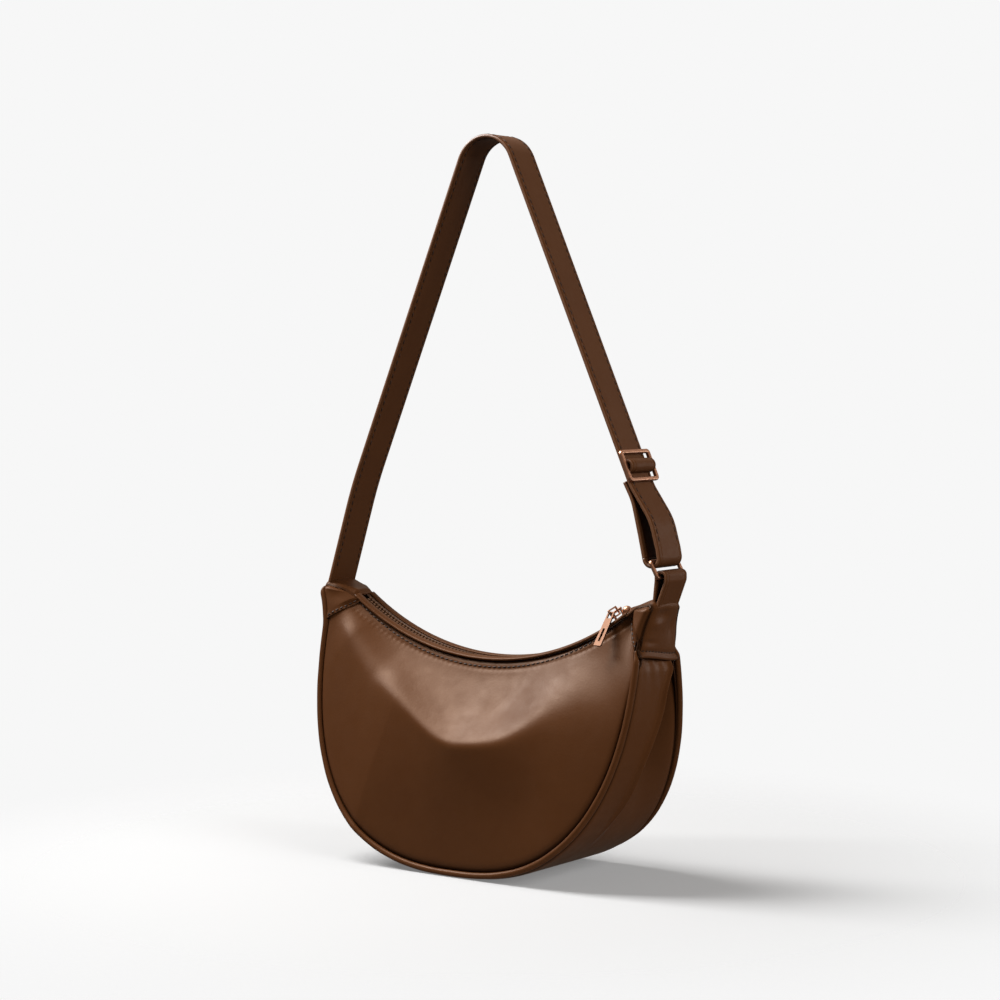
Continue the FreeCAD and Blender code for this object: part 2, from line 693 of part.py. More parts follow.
def zip_teeth(label, sign, offset_share):
    """A row of moulded teeth on the inner edge of a tape."""
    step = math.degrees(size("tooth_pitch") / size("mouth_radius"))
    width = size("tooth_width")
    height = size("tooth_height")
    length = size("tooth_length")
    corner = Vector(-width / 2, size("teeth_slit"), mouth_low() - height / 2)
    tooth = Part.makeBox(width, length, height, corner)
    tips = [edge for edge in tooth.Edges if is_upright(edge) and edge.BoundBox.YMax < corner.y + length / 2]
    tooth = tooth.makeChamfer(length * TOOTH_CHAMFER_SHARE, tips)
    if sign < 0:
        tooth = tooth.mirror(Vector(0, 0, 0), Vector(0, 1, 0))
    reach = teeth_half_angle() - math.degrees(width / size("mouth_radius"))
    count = int(2 * reach / step)
    centre = Vector(0, 0, mouth_centre_z())
    teeth = []
    for number in range(count):
        copy = tooth.copy()
        angle = (number + offset_share - count / 2) * step
        copy.rotate(centre, Vector(0, 1, 0), angle)
        teeth.append(copy)
    feature(label, Part.makeCompound(teeth))


def zip_stop(label, side):
    """Stop clamped over both tapes' edges at an end of the zip."""
    stop = doc.addObject("Part::Box", label)
    stop.Label = label
    stop.setExpression("Length", "sizes.stop_length")
    stop.setExpression("Width", "2 * (sizes.teeth_slit + sizes.tooth_length - sizes.seam_gap)")
    stop.setExpression("Height", "sizes.tooth_height")
    angle = side * zip_angle(-size("stop_length") / 2)
    turn = Rotation(Vector(0, 1, 0), -math.degrees(angle))
    middle = at_y(mouth_point(angle, 0.0))
    half = Vector(size("stop_length") / 2, size("teeth_slit") + size("tooth_length") - size("seam_gap"),
                  size("tooth_height") / 2)
    stop.Placement = Placement(middle - turn.multVec(half), turn)
    subparts.append(stop)


# Slider, link and pull

def pad(body, sketch, name, length, both_ways=False):
    """A pad whose length is bound to the sheet."""
    solid = body.newObject("PartDesign::Pad", name)
    solid.Profile = sketch
    solid.Midplane = both_ways
    solid.setExpression("Length", length)
    doc.recompute()
    return solid


def pocket_through(body, sketch, name):
    """A pocket right through, both ways from the sketch."""
    before = body.Shape.Volume
    cut = body.newObject("PartDesign::Pocket", name)
    cut.Profile = sketch
    cut.Midplane = True
    cut.setExpression("Length", "2 * sizes.overrun")
    doc.recompute()
    if not body.Shape.Volume < before:
        raise ValueError(name + " cuts nothing")
    return cut


def fillet_edges(body, base, name, keep, radius):
    """Round the edges of a feature for which keep is true."""
    names = [f"Edge{number}" for number, edge in enumerate(base.Shape.Edges, start=1) if keep(edge)]
    rounded = body.newObject("PartDesign::Fillet", name)
    rounded.Base = (base, names)
    rounded.setExpression("Radius", radius)
    doc.recompute()
    return rounded


def is_upright(edge):
    """True for a straight edge along the pad's own direction."""
    first, last = edge.Vertexes[0].Point, edge.Vertexes[-1].Point
    flat = math.hypot(first.x - last.x, first.y - last.y)
    return flat < size("sketch_tolerance") and abs(first.z - last.z) > size("sketch_tolerance")


def is_level(edge):
    """True for an edge that stays in one plane across the pad's direction."""
    heights = [edge.valueAt(edge.FirstParameter + (edge.LastParameter - edge.FirstParameter) * share).z
               for share in (0, 0.5, 1)]
    return max(heights) - min(heights) < size("sketch_tolerance")


def slider_place():
    """Where the slider sits on the zip at rest: x ahead, z away from the bag."""
    angle = zip_angle(-size("slider_inset"))
    turn = Rotation(Vector(0, 1, 0), -math.degrees(angle))
    return Placement(at_y(mouth_point(angle, 0.0)), turn)


def zip_slider():
    """Two shield-shaped plates on a post, with a domed nose and a wire bail."""
    body = new_body("zip_slider")
    long_half = "sizes.slider_length / 2"
    wide = "sizes.slider_width / 2"
    nose = "sizes.slider_nose / 2"
    shoulder = f"sizes.slider_length * {SLIDER_SHOULDER_SHARE}"
    shield = [(f"-({long_half})", f"-({nose})"), (shoulder, f"-({wide})"), (long_half, f"-({wide})"),
              (long_half, wide), (shoulder, wide), (f"-({long_half})", nose)]
    middle = f"sizes.slider_length * {POST_PLACE_SHARE}"
    lower = outline_sketch(body, "lower_plate_outline", "XY_Plane", shield,
                           "-sizes.plate_lift - sizes.plate_thickness")
    pad(body, lower, "lower_plate", "sizes.plate_thickness")
    post = outline_sketch(body, "post_outline", "XY_Plane",
                          rectangle(f"{middle} - sizes.post_length / 2", "-sizes.post_width / 2",
                                    f"{middle} + sizes.post_length / 2", "sizes.post_width / 2"),
                          "-sizes.plate_lift - sizes.plate_thickness")
    pad(body, post, "post", "2 * (sizes.plate_lift + sizes.plate_thickness)")
    upper = outline_sketch(body, "upper_plate_outline", "XY_Plane", shield, "sizes.plate_lift")
    pad(body, upper, "upper_plate", "sizes.plate_thickness")
    for name, end in (("front_leg", 1), ("rear_leg", -1)):
        leg = body.newObject("PartDesign::AdditiveCylinder", name)
        leg.setExpression("Radius", "sizes.bail_diameter / 2")
        leg.setExpression("Height", "sizes.bail_lift - sizes.plate_lift")
        leg.AttachmentSupport = [(plane_of(body, "XY_Plane"), "")]
        leg.MapMode = "FlatFace"
        leg.setExpression("AttachmentOffset.Base.x", f"{end} * sizes.bail_length / 2 - sizes.bail_back")
        leg.setExpression("AttachmentOffset.Base.z", "sizes.plate_lift")
        doc.recompute()
    bar = body.newObject("PartDesign::AdditiveCylinder", "bail_bar")
    bar.setExpression("Radius", "sizes.bail_diameter / 2")
    bar.setExpression("Height", "sizes.bail_length + sizes.bail_diameter")
    bar.AttachmentSupport = [(plane_of(body, "YZ_Plane"), "")]
    bar.MapMode = "FlatFace"
    bar.setExpression("AttachmentOffset.Base.y", "sizes.bail_lift")
    bar.setExpression("AttachmentOffset.Base.z",
                      "-(sizes.bail_length + sizes.bail_diameter) / 2 - sizes.bail_back")
    doc.recompute()
    dome = body.newObject("PartDesign::AdditiveSphere", "domed_nose")
    dome.setExpression("Radius", "sizes.dome_diameter / 2")
    dome.AttachmentSupport = [(plane_of(body, "XY_Plane"), "")]
    dome.MapMode = "FlatFace"
    dome.setExpression("AttachmentOffset.Base.x", "sizes.dome_ahead")
    dome.setExpression("AttachmentOffset.Base.z", "sizes.dome_lift")
    doc.recompute()
    body.Placement = slider_place()


def bail_point():
    """Middle of the bail's bar: the link turns about it."""
    return slider_place().multVec(Vector(-size("bail_back"), 0, size("bail_lift")))


def slope_turn(slope):
    """Turn of a frame: x towards the front and down by the slope, z away from the bag."""
    angle = math.radians(slope)
    along = Vector(0, -math.cos(angle), -math.sin(angle))
    away = Vector(0, -math.sin(angle), math.cos(angle))
    return Rotation(along, away.cross(along), away, "ZXY")


def link_place():
    """The link on the bail, square to the bail's bar."""
    turn = slider_place().Rotation.multiply(slope_turn(size("link_slope_angle")))
    return Placement(bail_point(), turn)


def zip_pull_link():
    """Flat wire link, on edge, from the bail to the pull's eye."""
    body = new_body("zip_pull_link")
    behind = "-(sizes.link_wire + sizes.bail_diameter / 2 + sizes.link_gap)"
    ahead = f"sizes.link_length + {behind}"
    half = "sizes.link_width / 2"
    outer = outline_sketch(body, "link_outline", "XZ_Plane",
                           rectangle(behind, f"-({half})", ahead, half))
    pad(body, outer, "link_pad", "sizes.link_wire", True)
    inner = outline_sketch(body, "link_window", "XZ_Plane",
                           rectangle(f"{behind} + sizes.link_wire", f"-({half} - sizes.link_wire)",
                                     f"{ahead} - sizes.link_wire", f"{half} - sizes.link_wire"))
    loop = pocket_through(body, inner, "link_hole")

    def is_corner(edge):
        first, last = edge.Vertexes[0].Point, edge.Vertexes[-1].Point
        return math.hypot(first.x - last.x, first.z - last.z) < size("sketch_tolerance")

    fillet_edges(body, loop, "link_corners", is_corner, f"sizes.link_wire * {LINK_CORNER_SHARE}")
    body.Placement = link_place()


def pull_pivot():
    """Middle of the link's outer bar, which the pull hangs on."""
    behind = size("link_wire") + size("bail_diameter") / 2 + size("link_gap")
    reach = size("link_length") - behind - size("link_wire") / 2
    return link_place().multVec(Vector(reach, 0, 0))


def zip_pull():
    """Flat bar, wider at its free end, with an eye at the link and a long slot."""
    body = new_body("zip_pull")
    behind = "-(sizes.pull_eye_inset + sizes.pull_eye_rise)"
    ahead = f"sizes.pull_length + {behind}"
    outline = [(behind, "-sizes.pull_top_width / 2"), (ahead, "-sizes.pull_end_width / 2"),
               (ahead, "sizes.pull_end_width / 2"), (behind, "sizes.pull_top_width / 2")]
    bar = outline_sketch(body, "pull_outline", "XY_Plane", outline)
    pad(body, bar, "pull_bar", "sizes.pull_thickness", True)
    eye = outline_sketch(body, "pull_eye", "XY_Plane",
                         rectangle("-sizes.pull_eye_rise", "-sizes.pull_eye_width / 2",
                                   "sizes.pull_hole - sizes.pull_eye_rise", "sizes.pull_eye_width / 2"))
    pocket_through(body, eye, "pull_eye_hole")
    slot_end = f"{ahead} - sizes.pull_slot_inset"
    slot = outline_sketch(body, "pull_slot", "XY_Plane",
                          rectangle(f"{slot_end} - sizes.pull_slot_length", "-sizes.pull_slot_width / 2",
                                    slot_end, "sizes.pull_slot_width / 2"))
    cut = pocket_through(body, slot, "pull_slot_hole")

    def is_outer(edge):
        wide = abs(edge.Vertexes[0].Point.y) > size("pull_eye_width") / 2 + size("sketch_tolerance")
        return is_upright(edge) and wide

    fillet_edges(body, cut, "pull_corners", is_outer, "sizes.pull_corner")
    body.Placement = Placement(pull_pivot(), slope_turn(size("pull_slope_angle")))


# Strap, tail, tab, ring and buckle

def strap_points():
    """Middle line of the strap: left root, over the top, buckle, loop and tail."""
    bend = from_tip("left_bend_inset", "left_bend_rise")
    root = layer_root(tip_corner()[0] - size("left_root_inset"), bend, size("strap_thickness"))
    crown = (size("crown_x"), tip_corner()[1] + size("crown_rise"))
    return (-root[0], root[1]), (-bend[0], bend[1]), crown, from_tip("leg_end_inset", "leg_end_rise")


def root_height(x):
    """Height of the horn's top at a distance from the middle."""
    outline = Part.Wire([segment_edge(*shifted_ends(segment, 0.0)) for segment in horn_path()])
    ends = (x, horn_height(1) + size("overrun")), (x, horn_height(SHOULDER_RISE_SHARE))
    upright = segment_edge(ends[0], None, ends[1])
    return max(pair[0].z for pair in outline.distToShape(upright)[1])


def layer_root(x, ahead, thickness):
    """Root of a leather layer that leans to a point: its lower corner clears the horn."""
    run = unit((ahead[0] - x, ahead[1] - root_height(x)))
    corners = [(-run[1] * half, run[0] * half) for half in (thickness / 2, -thickness / 2)]
    lift = max(root_height(x + across) - up for across, up in corners)
    return (x, lift + size("root_gap"))


def loop_point(drop_share, width_share):
    """Point of the strap's loop: share of the drop from the leg's end, share of its width."""
    top_x, top = from_tip("leg_end_inset", "leg_end_rise")
    loop_x, loop_z = from_tip("loop_inset", "loop_rise")
    drop = loop_z - size("loop_round") - top
    return (top_x + (loop_x - top_x) * drop_share + size("loop_width") / 2 * width_share,
            top + drop * drop_share)


def loop_corners():
    """Outer and inner corner under the ring, before they are rounded."""
    half = size("loop_width") / 2
    loop_x, loop_z = from_tip("loop_inset", "loop_rise")
    base = loop_z - size("loop_round")
    return (loop_x + half, base), (loop_x - half, base)


def tail_start(gap):
    """Where the strap ends past the ring, and a gap further on its tail begins."""
    corner = loop_corners()[1]
    ahead = loop_point(*TAIL_BOW_SHARES[0])
    run = unit((ahead[0] - corner[0], ahead[1] - corner[1]))
    reach = size("loop_round") + gap
    return (corner[0] + run[0] * reach, corner[1] + run[1] * reach)


def strap():
    """The strap from its left root to the loop round the ring."""
    left_root, bend, crown, leg_end = strap_points()
    bows = [loop_point(*pair) for pair in OUTER_BOW_SHARES]
    under_out, under_in = loop_corners()
    points = [left_root, bend, crown, leg_end] + bows + [under_out, under_in, tail_start(0.0)]
    radii = [size("left_bend_radius"), size("crown_radius")] + [size("bow_radius")] * 3
    radii += [size("loop_round")] * 2
    path = rounded_path(points, radii)
    extruded_band("strap", strap_face(path, size("strap_thickness")), "strap_width")


def strap_tail():
    """The strap's end, back up from the ring to the underside of the leg at the buckle."""
    bows = [loop_point(*pair) for pair in TAIL_BOW_SHARES]
    direction, outward = leg_directions()
    leg_end = strap_points()[3]
    drop = size("strap_thickness") + size("tail_gap")
    back = size("bow_radius") * TAIL_END_SHARE
    end = (leg_end[0] - outward[0] * drop - direction[0] * back,
           leg_end[1] - outward[1] * drop - direction[1] * back)
    points = [tail_start(size("seam_gap"))] + bows + [end]
    path = rounded_path(points, [size("bow_radius")] * len(bows))
    extruded_band("strap_tail", strap_face(path, size("strap_thickness")), "strap_width")


def leg_directions():
    """Down along the straight right leg, and outwards from it."""
    crown, leg_end = strap_points()[2:]
    along = unit((leg_end[0] - crown[0], leg_end[1] - crown[1]))
    return along, (-along[1], along[0])


def ring_bars():
    """Middles of the ring's upper and lower bars."""
    inner = size("loop_round") - size("strap_thickness") / 2
    drop = inner - size("ring_wire") / 2 - size("ring_seat_gap")
    loop_x, loop_z = from_tip("loop_inset", "loop_rise")
    upper = (loop_x, loop_z - drop)
    lean = math.radians(size("ring_lean_angle"))
    lower = (upper[0] + size("ring_pitch") * math.sin(lean), upper[1] - size("ring_pitch") * math.cos(lean))
    return upper, lower


def ring_tab():
    """Leather tab folded round the ring's lower bar and sewn into the right horn."""
    lower = ring_bars()[1]
    turn = size("tab_round")
    apart = size("tab_thickness") + size("tab_root_gap")
    top = lower[1] + size("ring_wire") / 2 + size("ring_seat_gap") + size("tab_thickness") / 2
    root_x = tip_corner()[0] - size("tab_root_inset")
    side_z = top - turn * TAB_SIDE_SHARE
    outer, inner = (lower[0] + turn, side_z), (lower[0] - turn, side_z)
    points = [layer_root(root_x + apart / 2, outer, size("tab_thickness")), outer,
              (outer[0], top), (inner[0], top), inner,
              layer_root(root_x - apart / 2, inner, size("tab_thickness"))]
    path = rounded_path(points, [turn * share for share in TAB_BEND_SHARES])
    extruded_band("ring_tab", strap_face(path, size("tab_thickness")), "tab_width")


def bar_frame(label, outer_x, outer_y, windows, wire, corner):
    """A wire frame with rounded bars: long side along Y, windows cut through."""
    body = new_body(label)
    plan = outline_sketch(body, label + "_outline", "XY_Plane",
                          rectangle(f"-({outer_x})", f"-({outer_y})", outer_x, outer_y))
    solid = pad(body, plan, label + "_pad", wire, True)
    solid = fillet_edges(body, solid, label + "_corners", is_upright, corner)
    for number, corners in enumerate(windows):
        window = outline_sketch(body, f"{label}_window_{number}", "XY_Plane", corners)
        solid = pocket_through(body, window, f"{label}_opening_{number}")
    fillet_edges(body, solid, label + "_rounding", is_level, "sizes.wire_round")
    return body


def leg_place(point, along):
    """Frame on a strap: x down along it, z outwards from the bag, y to the front."""
    run = Vector(along[0], 0, along[1])
    out = Vector(-along[1], 0, along[0])
    return Placement(at_y(point), Rotation(run, out.cross(run), out, "ZXY"))


def strap_ring():
    """Rectangular ring between strap and tab."""
    half_y = "(sizes.strap_width / 2 + sizes.ring_play)"
    half_x = "(sizes.ring_pitch / 2)"
    window = rectangle(f"-({half_x} - sizes.ring_wire / 2)", f"-{half_y}",
                       f"{half_x} - sizes.ring_wire / 2", half_y)
    body = bar_frame("strap_ring", f"{half_x} + sizes.ring_wire / 2", f"{half_y} + sizes.ring_wire",
                     [window], "sizes.ring_wire", "sizes.ring_corner")
    upper, lower = ring_bars()
    middle = ((upper[0] + lower[0]) / 2, (upper[1] + lower[1]) / 2)
    body.Placement = leg_place(middle, unit((lower[0] - upper[0], lower[1] - upper[1])))


def buckle_place():
    """The buckle's middle, on the outer face of the straight leg."""
    direction, outward = leg_directions()
    leg_end = strap_points()[3]
    back = size("buckle_rise") / -direction[1]
    lift = size("strap_thickness") / 2 + size("buckle_gap") + size("buckle_wire") / 2
    return leg_place((leg_end[0] - direction[0] * back + outward[0] * lift,
                      leg_end[1] - direction[1] * back + outward[1] * lift), direction)


def strap_buckle():
    """Three-bar slide."""
    half_y = "(sizes.strap_width / 2 + sizes.buckle_play)"
    near = "(sizes.buckle_wire / 2)"
    far = "(sizes.buckle_pitch - sizes.buckle_wire / 2)"
    windows = [rectangle(near, f"-{half_y}", far, half_y),
               rectangle(f"-{far}", f"-{half_y}", f"-{near}", half_y)]
    body = bar_frame("strap_buckle", "sizes.buckle_pitch + sizes.buckle_wire / 2",
                     f"{half_y} + sizes.buckle_wire", windows, "sizes.buckle_wire",
                     "sizes.buckle_corner")
    body.Placement = buckle_place()


def strap_bridge():
    """The strap's hump over the buckle's middle bar."""
    inner = size("buckle_wire") / 2 + size("bridge_gap")
    middle = inner + size("strap_thickness") / 2
    foot = -size("buckle_wire") / 2 - size("buckle_gap") / 2
    points = [(-middle, foot), (-middle, middle), (middle, middle), (middle, foot)]
    corner = middle - size("seam_gap") / 2
    face = strap_face(rounded_path(points, [corner, corner]), size("strap_thickness"))
    extruded_band("strap_bridge", face, "strap_width", buckle_place())


feature("front_panel", panel(FRONT))
feature("back_panel", panel(BACK))
feature("gusset", gusset())
feature("front_piping", piping(FRONT))
feature("back_piping", piping(BACK))
feature("lining", lining())
for name, mirror in (("front", FRONT), ("back", BACK)):
    patch = horn_patch(mirror)
    feature(f"right_horn_{name}_patch", patch)
    feature(f"left_horn_{name}_patch", mirrored_x(patch))
end_patch = gusset_patch()
feature("right_horn_gusset_patch", end_patch)
feature("left_horn_gusset_patch", mirrored_x(end_patch))
for name, sign, offset in (("front", FRONT, 0.0), ("back", BACK, TOOTH_OFFSET_SHARE)):
    zip_tape(f"{name}_zip_tape", sign)
    zip_welt(f"{name}_zip_welt", sign)
    zip_teeth(f"{name}_zip_teeth", sign, offset)
zip_stop("left_zip_stop", -1)
zip_stop("right_zip_stop", 1)
zip_slider()
zip_pull_link()
zip_pull()
strap()
strap_tail()
ring_tab()
strap_ring()
strap_buckle()
strap_bridge()
doc.recompute()

for item in doc.Objects:
    if "Invalid" in item.State or "Error" in item.State:
        raise ValueError(item.Name + " failed to build")
for piece in subparts:
    if piece.Shape.isNull() or not piece.Shape.isValid():
        raise ValueError(piece.Label + " has no valid shape")
    if piece.Shape.Volume <= 0:
        raise ValueError(piece.Label + " is inside out")

os.makedirs("parts", exist_ok=True)
for piece in subparts:
    piece.Shape.exportStep(f"parts/{piece.Label}.step")
    box = piece.Shape.optimalBoundingBox()
    print(f"{piece.Label}: {piece.Shape.Volume:.1f} mm3, x {box.XMin:.1f}..{box.XMax:.1f}, "
          f"y {box.YMin:.1f}..{box.YMax:.1f}, z {box.ZMin:.1f}..{box.ZMax:.1f}")
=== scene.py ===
"""Half moon bag: leather, zip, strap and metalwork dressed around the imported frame.

All places are in metres, in the frame of the part: x along the bag, -y to the front, z up.
"""

import math

import bpy
import numpy as np
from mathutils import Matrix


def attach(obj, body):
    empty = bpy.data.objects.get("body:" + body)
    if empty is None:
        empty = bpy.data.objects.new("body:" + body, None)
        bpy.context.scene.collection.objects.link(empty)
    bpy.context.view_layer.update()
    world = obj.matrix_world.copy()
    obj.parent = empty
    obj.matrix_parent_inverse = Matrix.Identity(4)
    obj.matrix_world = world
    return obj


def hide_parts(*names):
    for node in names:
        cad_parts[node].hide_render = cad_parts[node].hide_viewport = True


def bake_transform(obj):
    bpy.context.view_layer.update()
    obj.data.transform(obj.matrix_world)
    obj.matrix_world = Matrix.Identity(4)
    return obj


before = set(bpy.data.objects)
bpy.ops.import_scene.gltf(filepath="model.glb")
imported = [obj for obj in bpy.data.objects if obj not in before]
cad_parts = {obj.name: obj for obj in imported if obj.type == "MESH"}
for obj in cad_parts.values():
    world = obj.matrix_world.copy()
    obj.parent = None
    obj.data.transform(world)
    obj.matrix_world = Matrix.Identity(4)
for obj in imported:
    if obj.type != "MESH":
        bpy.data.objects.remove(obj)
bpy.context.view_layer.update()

bl_info = {
    "name": "Half Moon Bag",
    "version": (1, 0, 0),
    "blender": (4, 5, 0),
    "location": "View3D > Sidebar > Bag",
    "description": "Builds a small crescent shoulder bag piece by piece",
    "category": "Object",
}

# Shares of the half outline: where the sides turn upright, and where the horn patches begin
OUTLINE_POWER = 2.5
SIDE_SHARE = 0.92
PATCH_RISE_SHARE = 0.17
SHOULDER_RISE_SHARE = 0.507
PATCH_SHARE = SIDE_SHARE + (1 - SIDE_SHARE) * PATCH_RISE_SHARE / SHOULDER_RISE_SHARE

FRONT, BACK = -1, 1
FACES = (("front", FRONT), ("back", BACK))
DEEP = np.array((0.0, 1.0, 0.0))
BELLY_MIDDLE = (0.0, 0.0, 0.07)

# Thickness of the sheets
GUSSET_SHEET = 0.0006
PATCH_SHEET = 0.0013
TIP_SHEET = 0.0014
LINING_SHEET = 0.0005


def linear(code):
    """Linear colour of an sRGB hex value."""
    shares = [int(code[i:i + 2], 16) / 255 for i in (0, 2, 4)]
    return tuple(s / 12.92 if s <= 0.04045 else ((s + 0.055) / 1.055) ** 2.4 for s in shares)


def length(name, text, value):
    """A length property."""
    return bpy.props.FloatProperty(name=name, description=text, default=value,
                                   unit="LENGTH", precision=4)


def colour(name, text, code):
    """A colour property from a hex value."""
    return bpy.props.FloatVectorProperty(name=name, description=text, default=linear(code),
                                         subtype="COLOR", size=3, min=0.0, max=1.0)


class BagShape(bpy.types.PropertyGroup):
    """Sizes of the body, the zip and the strap."""

    half_width: length("Half width", "Middle to seam where the sides stand upright", 0.1155)
    side_height: length("Side height", "Height of the widest place", 0.140)
    seam_height: length("Seam height", "Seam above the floor at the middle", 0.0021)
    base_depth: length("Base depth", "Front seam to back seam at the base", 0.090)
    tip_depth: length("Tip depth", "Front seam to back seam at the tips", 0.029)
    full_depth_height: length("Full depth height", "The base keeps its depth up to here", 0.022)
    mouth_radius: length("Mouth radius", "Curve of the zip", 0.170)
    zip_end_inset: length("Zip end inset", "End of the zip in from the sides", 0.0132)
    zip_end_rise: length("Zip end rise", "End of the zip above the widest place", 0.0202)
    tip_rise: length("Tip rise", "Corner of the horn above the end of the zip", 0.0094)
    tip_flare: length("Tip flare", "Corner of the horn out from the sides", 0.0095)
    shoulder_flare: length("Shoulder flare", "Lean of the sides at the shoulder", 0.003)
    belly: length("Belly", "How far the front stands out at its crest", 0.0255)
    back_belly: length("Back belly", "How far the back stands out", 0.018)
    fold_depth: length("Fold depth", "Depth of the fold in the right side", 0.0125)
    piping: length("Piping", "Diameter of the piping", 0.0038)
    leather: length("Leather", "Thickness of the body leather", 0.0015)
    strap_width: length("Strap width", "Width of the strap", 0.025)
    strap_thickness: length("Strap thickness", "Thickness of the strap", 0.0026)
    stitch_pitch: length("Stitch pitch", "From stitch to stitch", 0.0036)
    strap_pitch: length("Strap stitch pitch", "From stitch to stitch", 0.0045)


class BagFinish(bpy.types.PropertyGroup):
    """Colours of the finishes."""

    leather_deep: colour("Leather, deep", "Body leather in its darker clouds", "432613")
    leather_clear: colour("Leather, clear", "Body leather in its lighter clouds", "4c2d17")
    edge_paint: colour("Edge paint", "Painted edges of the strap", "6b452b")
    thread: colour("Thread", "Sewing thread", "2a170b")
    plating: colour("Plating", "Plated metal", "c4957a")
    tape: colour("Zip tape", "Woven tape of the zip", "573922")
    teeth: colour("Zip teeth", "Moulded teeth of the zip", "5a3a22")
    lining: colour("Lining", "Woven lining", "7b5b45")
    floor: colour("Floor", "Paper under the bag", "9e9e9e")


# Curves and surfaces as whole arrays

def smooth(low, high, value):
    """Cubic ease from 0 at low to 1 at high: t t (3 - 2 t)."""
    t = np.clip((np.asarray(value, float) - low) / (high - low), 0, 1)
    return t * t * (3 - 2 * t)


def hill(value, width):
    """Bell curve exp(-(value / width) squared)."""
    return np.exp(-(np.asarray(value, float) / width) ** 2)


def unit(vectors):
    """The same directions, one long."""
    return vectors / np.linalg.norm(vectors, axis=-1, keepdims=True)


def horn_rise(shape):
    """Height of the horn's corner above the widest place."""
    return shape.zip_end_rise + shape.tip_rise


def outline(shape, share, proud=0.0, base=None):
    """Half outline: a superellipse from the base, share 0, to the widest place, then a flare that
    grows with the power 1.5 of the climb. Returns x and z."""
    share = np.asarray(share, float)
    angle = np.pi / 2 * np.minimum(share / SIDE_SHARE, 1)
    drop = shape.side_height - (shape.seam_height if base is None else base)
    across = np.sin(angle) / (shape.half_width + proud)
    down = np.maximum(np.cos(angle), 0) / drop
    reach = (across ** OUTLINE_POWER + down ** OUTLINE_POWER) ** (-1 / OUTLINE_POWER)
    climb = np.clip((share - SIDE_SHARE) / (1 - SIDE_SHARE), 0, 1)
    x = reach * np.sin(angle) + shape.shoulder_flare * climb ** 1.5
    z = shape.side_height - reach * np.cos(angle) + SHOULDER_RISE_SHARE * horn_rise(shape) * climb
    return x, z


def half_depth(shape, z):
    """Half of the bag's depth: full at the base, then narrowing evenly to the tips."""
    top = shape.side_height + horn_rise(shape)
    climb = np.maximum((z - shape.full_depth_height) / (top - shape.full_depth_height), 0)
    return shape.base_depth / 2 - (shape.base_depth - shape.tip_depth) / 2 * climb


def zip_angle(shape, run=0.0):
    """Angle of the zip's end on the mouth's circle, or of a place that far past it."""
    end = math.asin((shape.half_width - shape.zip_end_inset) / shape.mouth_radius)
    return end + run / shape.mouth_radius


def mouth_middle(shape):
    """Height of the middle of the mouth's circle."""
    return shape.side_height + shape.zip_end_rise + shape.mouth_radius * math.cos(zip_angle(shape))


def mouth(shape, angle, below=0.0):
    """Point on the mouth's circle, lowered by below: x = r sin, z = middle - r cos."""
    reach = shape.mouth_radius + below
    return reach * np.sin(angle), mouth_middle(shape) - reach * np.cos(angle)


def rounded_line(corners, radii, step=0.0007):
    """Runs between corners joined by tangent arcs, as points an even step apart."""
    corners = [np.asarray(c, float) for c in corners]
    points = [corners[0]]
    for behind, here, ahead, radius in zip(corners, corners[1:], corners[2:], radii):
        into, out = unit(here - behind), unit(ahead - here)
        turn = math.atan2(into[0] * out[1] - into[1] * out[0], into @ out)
        reach = radius * math.tan(abs(turn) / 2)
        normal = math.copysign(1, turn) * np.array((-into[1], into[0]))
        swing = np.linspace(0, abs(turn), 24)[:, None]
        arc = here - into * reach + radius * (np.sin(swing) * into + (1 - np.cos(swing)) * normal)
        points.extend(arc)
    points.append(corners[-1])
    return even_line(np.array(points), step)


def line_length(points):
    """Length along a line up to each of its points."""
    return np.concatenate(([0], np.cumsum(np.linalg.norm(np.diff(points, axis=0), axis=1))))


def read_off(values, along, places):
    """Rows of values that belong to lengths along a line, read off at other places on it."""
    return np.stack([np.interp(places, along, column) for column in values.T], axis=1)


def even_line(points, step):
    """The same line with its points an even step apart."""
    along = line_length(points)
    wanted = np.linspace(0, along[-1], max(int(along[-1] / step), 2) + 1)
    return read_off(points, along, wanted)


def on_plane(line, y=0.0):
    """Points of an x, z line at a depth."""
    return np.stack([line[:, 0], np.broadcast_to(y, line[:, 0].shape), line[:, 1]], axis=1)


def left_of(line):
    """Unit normals to the left of an x, z line."""
    run = unit(np.gradient(line, axis=0))
    return np.stack([-run[:, 1], run[:, 0]], axis=1)


def grid_faces(rows, columns, wrap=False):
    """Quads of a grid of points, closed along its columns if wrap is true."""
    row = np.arange(rows - 1)[:, None] * columns
    column = np.arange(columns if wrap else columns - 1)[None, :]
    after = (column + 1) % columns
    corners = (row + column, row + after, row + columns + after, row + columns + column)
    return np.stack(np.broadcast_arrays(*corners), axis=-1).reshape(-1, 4)


def grid_normals(points, away):
    """Unit normals of a grid of points, on the side that away points to."""
    normal = unit(np.cross(np.gradient(points, axis=0), np.gradient(points, axis=1)))
    return normal * np.sign(np.sum(normal * away, axis=-1, keepdims=True))


def sweep(path, across, out, profile):
    """A closed profile carried along a path: point = path + a across + b out. Returns points and
    faces with both ends closed."""
    points = path[:, None] + profile[..., :1] * across[:, None] + profile[..., 1:] * out[:, None]
    rows, columns = points.shape[:2]
    faces = grid_faces(rows, columns, wrap=True).tolist()
    faces.append(list(range(columns))[::-1])
    faces.append(list(range((rows - 1) * columns, rows * columns)))
    return points.reshape(-1, 3), faces


